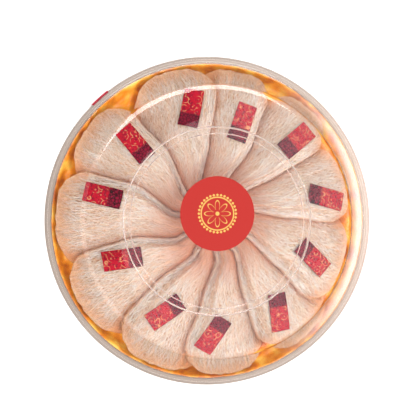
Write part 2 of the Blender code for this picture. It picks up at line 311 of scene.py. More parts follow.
@dataclass(frozen=True)
class DriedStrand:
    """Dried swiftlet saliva, set into strands and cleaned.

    It gives the eye a warm ivory that lets a little light through, with small wet-looking glints; salmon
    painted shade and orange painted light from the satin are mixed into its colour.
    """

    name: str = "dried_saliva_strands"
    pale: str = "#FBE8DC"
    body: str = "#F0CBB2"
    deep: str = "#C48E6E"
    # Salmon of the painted shade in grooves and curtains, also mixed in near the tips
    salmon: str = "#E69A78"
    # Orange of the painted light from the satin near the nests' outer ends
    painted_satin_light: str = "#F0A060"
    roughness: tuple[float, float] = (0.16, 0.62)
    ior: float = 1.48
    scatter_mm: float = 3.0
    mottle_mm: float = 9.0
    fleck_mm: float = 1.7
    dash_mm: float = 6.5
    dash_lanes: float = 1.1
    dash_depth: float = 0.34
    net_mm: float = 3.6
    net_lanes: float = 1.7
    net_lift: float = 0.16
    net_sink: float = 0.4
    grain_mm: float = 0.9
    grain_height_mm: float = 0.3
    grain_strength: float = 0.35
    specular: float = 0.45
    scatter_share: float = 0.35
    scatter_radii: tuple[float, float, float] = (1.0, 0.55, 0.32)

    def build(self) -> bpy.types.Material:
        """Return the material, which reads each nest's tone, warm (salmon painted shade, and salmon near the
        tips) and glow (orange painted satin light) attributes.
        """
        material, tree, shader = new_finish(self.name)
        place = add_node(tree, "ShaderNodeTexCoord").outputs["Object"]
        tone, warm, glow = (add_node(tree, "ShaderNodeAttribute", attribute_name=name).outputs["Fac"]
                            for name in ("tone", "warm", "glow"))
        mottle = add_node(tree, "ShaderNodeTexNoise", {
            "Vector": place, "Scale": 1.0 / (self.mottle_mm * MM), "Detail": 4.0})
        shift = sum_of(tree, "MULTIPLY_ADD", mottle.outputs["Fac"], 0.5, -0.25)
        # Gaps in the dried film show as short dark dashes along the strands
        length, lane = (add_node(tree, "ShaderNodeAttribute", attribute_name=name).outputs["Fac"]
                        for name in ("length_mm", "lane"))
        along = sum_of(tree, "MULTIPLY", length, 1.0 / self.dash_mm)
        across = sum_of(tree, "MULTIPLY", lane, 1.0 / self.dash_lanes)
        spot = add_node(tree, "ShaderNodeCombineXYZ", {0: along, 1: across})
        dash = add_node(tree, "ShaderNodeTexNoise", {
            "Vector": spot.outputs[0], "Scale": 1.0, "Detail": 1.5, "Distortion": 0.4}).outputs["Fac"]
        gap = add_node(tree, "ShaderNodeMapRange", {
            "Value": dash, "From Min": 0.60, "From Max": 0.74, "To Max": self.dash_depth})
        # Fibres too thin to build cross each other as a pale net
        mesh_spot = add_node(tree, "ShaderNodeVectorMath", {
            0: spot.outputs[0], 1: (self.dash_mm / self.net_mm, self.dash_lanes / self.net_lanes, 1.0)},
            operation="MULTIPLY").outputs[0]
        cells = add_node(tree, "ShaderNodeTexVoronoi", {
            "Vector": mesh_spot, "Scale": 1.0}, feature="DISTANCE_TO_EDGE").outputs["Distance"]
        net = add_node(tree, "ShaderNodeMapRange", {
            "Value": cells, "From Min": 0.03, "From Max": 0.16,
            "To Min": self.net_lift, "To Max": -self.net_sink * self.net_lift}).outputs["Result"]
        tone = sum_of(tree, "ADD", tone, net)
        fleck = add_node(tree, "ShaderNodeTexNoise", {
            "Vector": place, "Scale": 1.0 / (self.fleck_mm * MM), "Detail": 2.0})
        shift = sum_of(tree, "MULTIPLY_ADD", fleck.outputs["Fac"], 0.4, shift)
        shift = sum_of(tree, "SUBTRACT", shift, 0.2)
        rough_tone = sum_of(tree, "ADD", tone, shift)
        paleness = sum_of(tree, "SUBTRACT", rough_tone, gap.outputs["Result"], clamped=True)
        colour = colour_ramp(tree, paleness, [(0.0, self.deep), (0.42, self.body), (1.0, self.pale)])
        # Mix in the salmon painted shade, then the orange painted light from the satin
        with_painted_shade = add_node(tree, "ShaderNodeMix", {0: warm, 6: colour, 7: to_linear(self.salmon)},
                          data_type="RGBA")
        with_painted_satin_light = add_node(tree, "ShaderNodeMix", {
            0: glow, 6: with_painted_shade.outputs[2], 7: to_linear(self.painted_satin_light)}, data_type="RGBA")
        grain = add_node(tree, "ShaderNodeTexNoise", {
            "Vector": place, "Scale": 1.0 / (self.grain_mm * MM), "Detail": 2.0})
        bump = add_node(tree, "ShaderNodeBump", {
            "Height": grain.outputs["Fac"], "Strength": self.grain_strength,
            "Distance": self.grain_height_mm * MM})
        tree.links.new(with_painted_satin_light.outputs[2], shader.inputs["Base Color"])
        tree.links.new(bump.outputs["Normal"], shader.inputs["Normal"])
        smooth, rough = self.roughness
        shine = add_node(tree, "ShaderNodeMapRange", {
            "Value": fleck.outputs["Fac"], "From Min": 0.62, "From Max": 0.5,
            "To Min": smooth, "To Max": rough})
        tree.links.new(shine.outputs["Result"], shader.inputs["Roughness"])
        shader.inputs["IOR"].default_value = self.ior
        shader.inputs["Specular IOR Level"].default_value = self.specular
        shader.inputs["Subsurface Weight"].default_value = self.scatter_share
        shader.inputs["Subsurface Radius"].default_value = self.scatter_radii
        shader.inputs["Subsurface Scale"].default_value = self.scatter_mm * MM
        return material


@dataclass(frozen=True)
class WovenSatin:
    """Polyester satin, woven with long floats and gathered by hand.

    It gives the eye broad soft highlights along its folds and deep orange between them, helped by painted
    highlight and painted shade that noise spreads through its colour.
    """

    name: str = "orange_satin_woven"
    # Light and deep are lit and shaded copies of the orange: painted highlight and painted shade
    light: str = "#FFC24C"
    body: str = "#F59312"
    deep: str = "#C65C04"
    roughness: float = 0.34
    # Real threads lie 0.15 mm apart, too fine to show, so they are drawn at 0.7 mm
    thread_mm: float = 0.7
    thread_height_mm: float = 0.1
    thread_strength: float = 0.12
    drift_mm: float = 10.526
    specular: float = 0.35
    sheen: float = 0.15
    sheen_roughness: float = 0.3
    sheen_tint: str = "#FFD08A"

    def build(self) -> bpy.types.Material:
        """Return the material."""
        material, tree, shader = new_finish(self.name)
        place = add_node(tree, "ShaderNodeTexCoord")
        # Noise spreads the colour at random between deep and light, painted shade and painted highlight in
        # random places
        drift = add_node(tree, "ShaderNodeTexNoise", {
            "Vector": place.outputs["Object"], "Scale": 1.0 / (self.drift_mm * MM), "Detail": 2.0})
        colour = colour_ramp(tree, drift.outputs["Fac"],
                             [(0.32, self.deep), (0.5, self.body), (0.68, self.light)])
        # Blender's wave texture shows 20 / tau bands to a unit of its scale
        threads = add_node(tree, "ShaderNodeTexWave", {
            "Vector": place.outputs["Object"], "Scale": math.tau / (20.0 * self.thread_mm * MM),
            "Distortion": 1.5, "Detail": 1.0}, bands_direction="DIAGONAL")
        bump = add_node(tree, "ShaderNodeBump", {
            "Height": threads.outputs["Fac"], "Strength": self.thread_strength,
            "Distance": self.thread_height_mm * MM})
        tree.links.new(colour, shader.inputs["Base Color"])
        tree.links.new(bump.outputs["Normal"], shader.inputs["Normal"])
        shader.inputs["Roughness"].default_value = self.roughness
        shader.inputs["Specular IOR Level"].default_value = self.specular
        shader.inputs["Sheen Weight"].default_value = self.sheen
        shader.inputs["Sheen Roughness"].default_value = self.sheen_roughness
        shader.inputs["Sheen Tint"].default_value = to_linear(self.sheen_tint)
        return material


@dataclass(frozen=True)
class TablePaint:
    """Matt pale paint on the studio's table.

    It gives the eye a clean white ground; to every other ray it glows a dimmer beige, which the clear
    plastic carries, and a pink patch on the right glows brighter as a painted window reflection and light.
    """

    name: str = "pale_table_paint"
    ground: str = "#D9D9D8"
    carried: str = "#DCCDBE"
    painted_window_tint: str = "#FFDEDE"
    glow: float = 0.62
    carried_strength: float = 0.86
    side_strength: float = 1.0
    mirrored_strength: float = 0.16
    painted_window_strength: float = 2.6
    window_span_mm: tuple[float, float] = (72.0, 128.0)
    window_reach_mm: tuple[float, float] = (155.0, 145.0)
    roughness: float = 0.9

    def build(self) -> bpy.types.Material:
        """Return the material."""
        material, tree, shader = new_finish(self.name)
        shader.inputs["Base Color"].default_value = to_linear(self.ground)
        shader.inputs["Roughness"].default_value = self.roughness
        shader.inputs["Emission Color"].default_value = (1.0, 1.0, 1.0, 1.0)
        shader.inputs["Emission Strength"].default_value = self.glow
        place = add_node(tree, "ShaderNodeTexCoord").outputs["Object"]
        across = add_node(tree, "ShaderNodeSeparateXYZ", {0: place}).outputs["X"]
        outward = add_node(tree, "ShaderNodeVectorMath", {0: place}, operation="LENGTH").outputs["Value"]
        # Painted window: a patch on the right glows brighter and pinker to every ray but the camera's,
        # brightest to glossy rays
        spans = [add_node(tree, "ShaderNodeMapRange", {
            "Value": value, "From Min": span[0] * MM, "From Max": span[1] * MM}).outputs["Result"]
            for value, span in ((across, self.window_span_mm), (outward, self.window_reach_mm))]
        side = sum_of(tree, "MULTIPLY", *spans)
        mirrored = add_node(tree, "ShaderNodeMapRange", {
            "Value": side, "To Min": self.mirrored_strength, "To Max": self.painted_window_strength})
        through = add_node(tree, "ShaderNodeMapRange", {
            "Value": side, "To Min": self.carried_strength, "To Max": self.side_strength})
        path = add_node(tree, "ShaderNodeLightPath")
        strength = add_node(tree, "ShaderNodeMix", {
            0: path.outputs["Is Glossy Ray"], 2: through.outputs["Result"], 3: mirrored.outputs["Result"]})
        colour = add_node(tree, "ShaderNodeMix", {
            0: side, 6: to_linear(self.carried), 7: to_linear(self.painted_window_tint)}, data_type="RGBA")
        carried = add_node(tree, "ShaderNodeEmission", {
            "Color": colour.outputs[2], "Strength": strength.outputs[0]})
        both = add_node(tree, "ShaderNodeMixShader", {
            0: path.outputs["Is Camera Ray"], 1: carried.outputs[0], 2: shader.outputs[0]})
        tree.links.new(both.outputs[0], tree.nodes["Material Output"].inputs["Surface"])
        return material


@dataclass(frozen=True)
class PrintedLabel:
    """Coated crimson paper with thin gilt scrolls and a dark fretted patch, printed flat.

    It gives the eye a strong red with fine gold lines, and a faint gloss from its coating.
    """

    length_mm: float
    width_mm: float
    name: str = "crimson_label_paper_printed"
    ground: str = "#BC0E2A"
    shade: str = "#820E2A"
    patch: str = "#8C0C30"
    patch_line: str = "#24040F"
    gilt: str = "#E0A070"
    scroll_mm: float = 4.6
    speck_mm: float = 1.5
    scroll_rings: float = 2.3
    gilt_share: float = 0.85
    fret_mm: float = 2.0
    patch_end: tuple[float, float] = (0.38, 0.32)
    roughness: float = 0.5
    specular: float = 0.2

    def build(self) -> bpy.types.Material:
        """Return the material, which reads the label's flat shares from its UV map."""
        material, tree, shader = new_finish(self.name)
        flat = add_node(tree, "ShaderNodeUVMap", uv_map="flat").outputs["UV"]
        shift = add_node(tree, "ShaderNodeAttribute", attribute_name="print_shift").outputs["Fac"]
        size = add_node(tree, "ShaderNodeVectorMath", {0: flat, 1: (self.length_mm, self.width_mm, 1.0)},
                        operation="MULTIPLY").outputs[0]
        size = add_node(tree, "ShaderNodeVectorMath", {0: size, 1: shift}, operation="ADD").outputs[0]
        share = add_node(tree, "ShaderNodeSeparateXYZ", {0: flat}).outputs["X"]
        specks = add_node(tree, "ShaderNodeTexNoise", {
            "Vector": size, "Scale": 1.0 / self.speck_mm, "Detail": 2.0}).outputs["Fac"]
        ground = colour_ramp(tree, specks, [(0.38, self.shade), (0.50, self.ground)])
        cells = add_node(tree, "ShaderNodeTexVoronoi", {
            "Vector": size, "Scale": 1.0 / self.scroll_mm}).outputs["Distance"]
        wave = sum_of(tree, "SINE", sum_of(tree, "MULTIPLY", cells, math.tau * self.scroll_rings))
        gilt = add_node(tree, "ShaderNodeMapRange", {
            "Value": wave, "From Min": 0.72, "From Max": 0.98,
            "To Max": self.gilt_share}).outputs["Result"]
        worn = add_node(tree, "ShaderNodeTexNoise", {"Vector": size, "Scale": 0.9 / self.scroll_mm})
        kept = add_node(tree, "ShaderNodeMapRange", {
            "Value": worn.outputs["Fac"], "From Min": 0.44, "From Max": 0.54}).outputs["Result"]
        gilt = sum_of(tree, "MULTIPLY", gilt, kept)
        fret = add_node(tree, "ShaderNodeTexVoronoi", {
            "Vector": size, "Scale": 1.0 / self.fret_mm}, feature="DISTANCE_TO_EDGE").outputs["Distance"]
        lines = colour_ramp(tree, fret, [(0.05, self.patch_line), (0.17, self.patch)])
        outside, inside = self.patch_end
        in_patch = add_node(tree, "ShaderNodeMapRange", {
            "Value": share, "From Min": outside, "From Max": inside}).outputs["Result"]
        printed = add_node(tree, "ShaderNodeMix", {0: gilt, 6: ground, 7: to_linear(self.gilt)},
                           data_type="RGBA").outputs[2]
        both = add_node(tree, "ShaderNodeMix", {0: in_patch, 6: printed, 7: lines},
                        data_type="RGBA").outputs[2]
        tree.links.new(both, shader.inputs["Base Color"])
        shader.inputs["Roughness"].default_value = self.roughness
        shader.inputs["Specular IOR Level"].default_value = self.specular
        return material


@dataclass(frozen=True)
class GiltSticker:
    """Coated red paper with a gilt rosette stamped in its middle.

    It gives the eye a flat warm red with a fine gold figure that catches the light.
    """

    middle_y_mm: float
    name: str = "red_sticker_paper_stamped"
    ground: str = "#B5241D"
    gilt: str = "#DFB35A"
    petals: float = 8.0
    petal_root_mm: float = 3.0
    petal_mm: float = 6.2
    heart_mm: float = 1.0
    ring_mm: float = 11.6
    bead_ring_mm: float = 1.6
    beads_per_petal: float = 4.0
    bead_mm: float = 0.5
    line_mm: float = 0.42
    edge_mm: float = 0.12
    roughness: float = 0.4

    def build(self) -> bpy.types.Material:
        """Return the material, which draws the rosette from polar sums."""
        material, tree, shader = new_finish(self.name)
        place = add_node(tree, "ShaderNodeTexCoord").outputs["Object"]
        axes = add_node(tree, "ShaderNodeSeparateXYZ", {0: place})
        work_out = partial(sum_of, tree)
        x = work_out("DIVIDE", axes.outputs["X"], MM)
        y = work_out("SUBTRACT", work_out("DIVIDE", axes.outputs["Y"], MM), self.middle_y_mm)
        radius = work_out("SQRT", work_out("ADD", work_out("MULTIPLY", x, x), work_out("MULTIPLY", y, y)))
        turn = work_out("ARCTAN2", y, x)
        bow = work_out("ABSOLUTE", work_out("COSINE", work_out("MULTIPLY", turn, 0.5 * self.petals)))
        petal = work_out("MULTIPLY_ADD", bow, self.petal_mm, self.petal_root_mm)
        outline = work_out("ABSOLUTE", work_out("SUBTRACT", radius, petal))
        ring = work_out("ABSOLUTE", work_out("SUBTRACT", radius, self.ring_mm))
        beads = work_out("ABSOLUTE", work_out("SUBTRACT", radius, self.ring_mm + self.bead_ring_mm))
        bead_turn = work_out("MULTIPLY", turn, self.beads_per_petal * self.petals)
        bead_gap = work_out("MULTIPLY", work_out("COSINE", bead_turn), -self.bead_mm)
        nearest = work_out("MINIMUM", work_out("MINIMUM", outline, ring), work_out("ADD", beads, bead_gap))
        nearest = work_out("MINIMUM", nearest, work_out("SUBTRACT", radius, self.heart_mm))
        stamped = add_node(tree, "ShaderNodeMapRange", {
            "Value": nearest, "From Min": self.line_mm + self.edge_mm,
            "From Max": self.line_mm - self.edge_mm})
        colour = add_node(tree, "ShaderNodeMix", {
            0: stamped.outputs["Result"], 6: to_linear(self.ground), 7: to_linear(self.gilt)},
            data_type="RGBA")
        tree.links.new(colour.outputs[2], shader.inputs["Base Color"])
        shader.inputs["Roughness"].default_value = self.roughness
        return material


@dataclass(frozen=True)
class SealPaper:
    """Coated dark red paper, cut into a small seal, with the dull gloss of fresh print."""

    name: str = "dark_red_seal_paper"
    ground: str = "#B81F35"
    worn: str = "#CF4A58"
    wear_mm: float = 2.2
    roughness: float = 0.45

    def build(self) -> bpy.types.Material:
        """Return the material."""
        material, tree, shader = new_finish(self.name)
        place = add_node(tree, "ShaderNodeTexCoord").outputs["Object"]
        wear = add_node(tree, "ShaderNodeTexNoise", {
            "Vector": place, "Scale": 1.0 / (self.wear_mm * MM), "Detail": 3.0}).outputs["Fac"]
        colour = colour_ramp(tree, wear, [(0.5, self.ground), (0.8, self.worn)])
        tree.links.new(colour, shader.inputs["Base Color"])
        shader.inputs["Roughness"].default_value = self.roughness
        return material


@dataclass(frozen=True)
class NestPlace:
    """Where one nest lies and how it bends.

    Args:
        lip: azimuth of its raised lip, in degrees.
        swing: how far its tip swings counterclockwise, in degrees.
        bow: how far its lip bows counterclockwise two thirds of the way out, in degrees.
        reach: distance of its outer end from the box's middle.
        label_radius: distance of its label's middle.
        label_angle: angle from its lip to its label's middle, in degrees.
        label_turn: turn of its label's length away from the radial line, in degrees.
    """

    lip: float
    swing: float
    bow: float
    reach: float
    label_radius: float
    label_angle: float
    label_turn: float


# Clockwise from the top of the box, as the source of the solids lays them out
NEST_PLACES = (
    NestPlace(92.5, 13.0, -4.0, 112.5, 83.0, 8.5, -24.0),
    NestPlace(62.5, 10.0, 1.5, 111.0, 74.0, 11.0, -4.0),
    NestPlace(35.0, 10.0, -2.0, 110.5, 85.0, 8.5, -5.0),
    NestPlace(3.5, 12.0, -3.5, 107.0, 85.0, 8.0, -26.0),
    NestPlace(326.5, 10.0, -5.0, 106.0, 78.0, 13.5, -24.0),
    NestPlace(294.5, 12.0, -1.0, 111.0, 82.0, 11.5, -27.0),
    NestPlace(264.5, 13.0, -5.5, 112.5, 82.0, 5.5, -33.0),
    NestPlace(229.5, 12.0, -1.0, 112.5, 74.0, 12.5, -27.0),
    NestPlace(193.5, 13.0, 1.0, 112.5, 71.0, 9.0, -14.0),
    NestPlace(156.0, 12.0, 3.0, 112.5, 82.0, 11.0, -1.0),
    NestPlace(123.5, 10.0, 2.5, 112.0, 79.0, 12.0, -7.0),
)


@dataclass
class NestForm:
    """The curved shell that one nest's strands follow.

    Args:
        place: where the nest lies.
        pitch: angle from its lip to the next one counterclockwise, in degrees.
        neighbour: form of the nest on its clockwise side, which its lip lies on.
        upper: form of the nest on its other side, whose lip lies on this one.
    """

    place: NestPlace
    pitch: float
    neighbour: "NestForm | None" = None
    upper: "NestForm | None" = None
    tip_radius: float = 18.0
    tip_straight_radius: float = 29.0
    thickness: float = 3.0
    lip_straight_radius: float = 62.0
    floor: float = 10.2
    tip_floor: float = 19.0
    tip_floor_end: float = 44.0
    end_floor: float = 21.6
    end_floor_start: float = 86.0
    end_floor_full: float = 103.0
    crest: float = 45.0
    tip_crest: float = 38.0
    end_crest: float = 26.6
    crest_fall_start: float = 66.0
    crest_share: float = 0.16
    lip_drop: float = 0.30
    tuck_height_share: float = 0.07
    inner_overlap: float = 1.34
    outer_overlap: float = 1.07
    end_rounding: float = 0.10
    ridge_height: float = 0.6
    ridge_count: float = 3.0
    rest_gap: float = 1.7
    lip_rest_share: float = 0.15
    lip_steepness: float = 0.6
    lip_lay: float = 0.85
    lip_overhang: float = 0.15

    def lip_angle(self, radius: Array) -> Array:
        """Return the azimuth of the raised lip at a distance from the middle."""
        held = np.maximum(radius, self.tip_straight_radius)
        inward = np.maximum(0.0, (self.lip_straight_radius - held) / 30.0)
        outward = np.maximum(0.0, (radius - self.lip_straight_radius) / 50.0)
        bow = self.place.bow * np.sin(0.75 * math.pi * outward)
        return self.place.lip + self.place.swing * inward ** 2 + bow

    def spread_angle(self, radius: Array) -> Array:
        """Return the angle from the raised lip to the tucked edge."""
        share = (radius - self.tip_radius) / (self.place.reach - self.tip_radius)
        overlap = self.inner_overlap + (self.outer_overlap - self.inner_overlap) * share ** 2
        return self.pitch * overlap

    def floor_height(self, radius: Array) -> Array:
        """Return the height of the tucked edge, which climbs the satin mound and roll."""
        rise = smooth_step(radius, self.end_floor_start, self.end_floor_full)
        mound = 1.0 - smooth_step(radius, self.tip_radius, self.tip_floor_end)
        return (self.floor + (self.end_floor - self.floor) * rise
                + (self.tip_floor - self.floor) * mound)

    def crest_height(self, radius: Array) -> Array:
        """Return the height of the highest line, which falls towards both ends."""
        height = self.tip_crest + (self.crest - self.tip_crest) * smooth_step(
            radius, self.tip_radius, 45.0)
        fall = np.clip((radius - self.crest_fall_start)
                       / (self.place.reach - self.crest_fall_start), 0.0, 1.0)
        return height + (self.end_crest - height) * fall ** 1.6

    def free_height(self, radius: Array, across: Array) -> Array:
        """Return the height of the upper face, before it rests on the neighbour."""
        to_lip = np.clip((self.crest_share - across) / self.crest_share, 0.0, None)
        fall = np.clip((across - self.crest_share) / (1.0 - self.crest_share), 0.0, 1.0)
        down = self.tuck_height_share + (1.0 - self.tuck_height_share) * np.cos(
            0.5 * math.pi * fall ** 1.1)
        share = np.where(across < self.crest_share, 1.0 - self.lip_drop * to_lip ** 2, down)
        low = self.floor_height(radius)
        wave = np.sin(2.0 * math.pi * self.ridge_count * across + math.radians(self.place.lip))
        ridge = self.ridge_height * wave * np.minimum(1.0, 4.0 * across) * (1.0 - across)
        return low + (self.crest_height(radius) - low) * share + ridge

    def top_height(self, radius: Array, across: Array) -> Array:
        """Return the height of the upper face, with the lip laid down on the neighbour."""
        height = self.free_height(radius, across)
        azimuth = self.lip_angle(radius) + across * self.spread_angle(radius)
        other = self.neighbour
        from_lip = wrapped(azimuth - other.lip_angle(radius))
        other_across = from_lip / other.spread_angle(radius)
        below = other.free_height(radius, np.minimum(1.0, other_across))
        lip_share = 1.0 - smooth_step(across, 0.0, self.lip_rest_share)
        lies_on = 1.0 - smooth_step(other_across, 1.0, 1.0 + self.lip_overhang)
        gap = self.rest_gap * (2.0 - smooth_step(radius, self.tip_radius, self.tip_floor_end))
        resting = below + (gap + self.thickness * (1.0 + self.lip_steepness * lip_share)) * lies_on
        laid = np.maximum(resting, height + (resting - height) * self.lip_lay * lip_share)
        return np.where(across < 0.5, laid, height)

    def point(self, along: Array, across: Array, lift: Array | float = 0.0) -> Array:
        """Return points of the upper face.

        Args:
            along: share of the way from the tip to the outer end.
            across: share of the way from the lip to the tucked edge.
            lift: height above the face.

        Returns:
            Points in millimetres.
        """
        inside = np.clip(across, 0.0, 1.0)
        end = self.place.reach * (1.0 - self.end_rounding * np.abs(2.0 * inside - 1.0) ** 4)
        end = end - self.ragged(inside)
        radius = self.tip_radius + (end - self.tip_radius) * along
        azimuth = self.lip_angle(radius) + across * self.spread_angle(radius)
        return polar(radius, azimuth, self.top_height(radius, inside) + lift)

    def ragged(self, across: Array) -> Array:
        """Return how far the broken outer edge stays behind the solid's, in millimetres."""
        turn, own = math.tau * across, math.radians(self.place.lip)
        slow = 0.5 + 0.5 * np.sin(1.6 * turn + 3.0 * own)
        fine = 0.5 + 0.5 * np.sin(5.3 * turn + 5.0 * own + 1.6 * np.sin(2.9 * turn + own))
        side = 2.0 * across - 1.0
        corner = smooth_step(np.abs(side), 0.4, 1.0) * (1.0 + 0.35 * np.sin(7.0 * own + 2.0 * np.sign(side)))
        return 0.3 * slow + 0.8 * fine + 2.4 * corner

    def height_at(self, x: Array, y: Array) -> Array:
        """Return the height of the upper face at plan places."""
        radius = np.hypot(x, y)
        from_lip = np.degrees(np.arctan2(y, x)) - self.lip_angle(radius)
        across = wrapped(from_lip) / self.spread_angle(radius)
        return self.top_height(radius, np.clip(across, 0.0, 1.0))

    def width(self, along: Array) -> Array:
        """Return the width of the face in plan, in millimetres."""
        radius = self.tip_radius + (self.place.reach - self.tip_radius) * along
        return radius * np.radians(self.spread_angle(radius))

    def covered(self, along: Array, across: Array) -> Array:
        """Return how far inside the next nest's lip a place lies, in millimetres.

        Places beyond that lip are hidden under the next nest and give values above zero.
        """
        radius = self.tip_radius + (self.place.reach - self.tip_radius) * along
        azimuth = self.lip_angle(radius) + across * self.spread_angle(radius)
        past = wrapped(azimuth - self.upper.lip_angle(radius))
        return np.radians(past) * radius

    def frame(self, along: Array, across: Array) -> tuple[Array, Array]:
        """Return the outward normal of the face and the direction across it."""
        step = 0.004
        ahead = self.point(along + step, across) - self.point(along - step, across)
        aside = (self.point(along, np.clip(across + step, 0.0, 1.0))
                 - self.point(along, np.clip(across - step, 0.0, 1.0)))
        return unit(np.cross(ahead, aside)), unit(aside)


def lay_out_forms() -> list[NestForm]:
    """Return the forms of all nests, each tied to its clockwise neighbour."""
    forms = []
    for index, place in enumerate(NEST_PLACES):
        pitch = (NEST_PLACES[index - 1].lip - place.lip) % 360.0
        forms.append(NestForm(place, pitch))
    for index, form in enumerate(forms):
        form.neighbour = forms[(index + 1) % len(forms)]
        form.upper = forms[index - 1]
    return forms


class Strands(Enum):
    """The kinds of strand that a nest is built up from."""

    NET = "net"
    UNDER = "under"
    STRAY = "stray"
    LIP = "lip"
    CURTAIN = "curtain"


@dataclass(frozen=True)
class StrandKind:
    """Sizes of one kind of strand, in millimetres where they are lengths.

    Args:
        count: number of strands.
        steps: number of rings along each.
        sides: number of sides round each.
        half_width: half the width, along the nest's face.
        half_height: half the height, out of the nest's face.
        depth: how far the middle lies below the face.
        tone: paleness, from 0 to 1.
        tone_spread: how much the paleness varies from strand to strand.
    """

    count: int
    steps: int
    sides: int
    half_width: float
    half_height: float
    depth: float
    tone: float
    tone_spread: float


STRAND_KINDS = {
    Strands.NET: StrandKind(46, 58, 4, 0.42, 0.20, 0.08, 0.58, 0.09),
    Strands.UNDER: StrandKind(32, 38, 4, 0.72, 0.28, 0.30, 0.50, 0.10),
    Strands.STRAY: StrandKind(250, 11, 4, 0.30, 0.20, -0.12, 0.92, 0.12),
    Strands.LIP: StrandKind(9, 66, 5, 0.55, 0.34, 0.08, 0.74, 0.10),
    Strands.CURTAIN: StrandKind(7, 44, 4, 0.85, 0.50, 0.2, 0.66, 0.08),
}


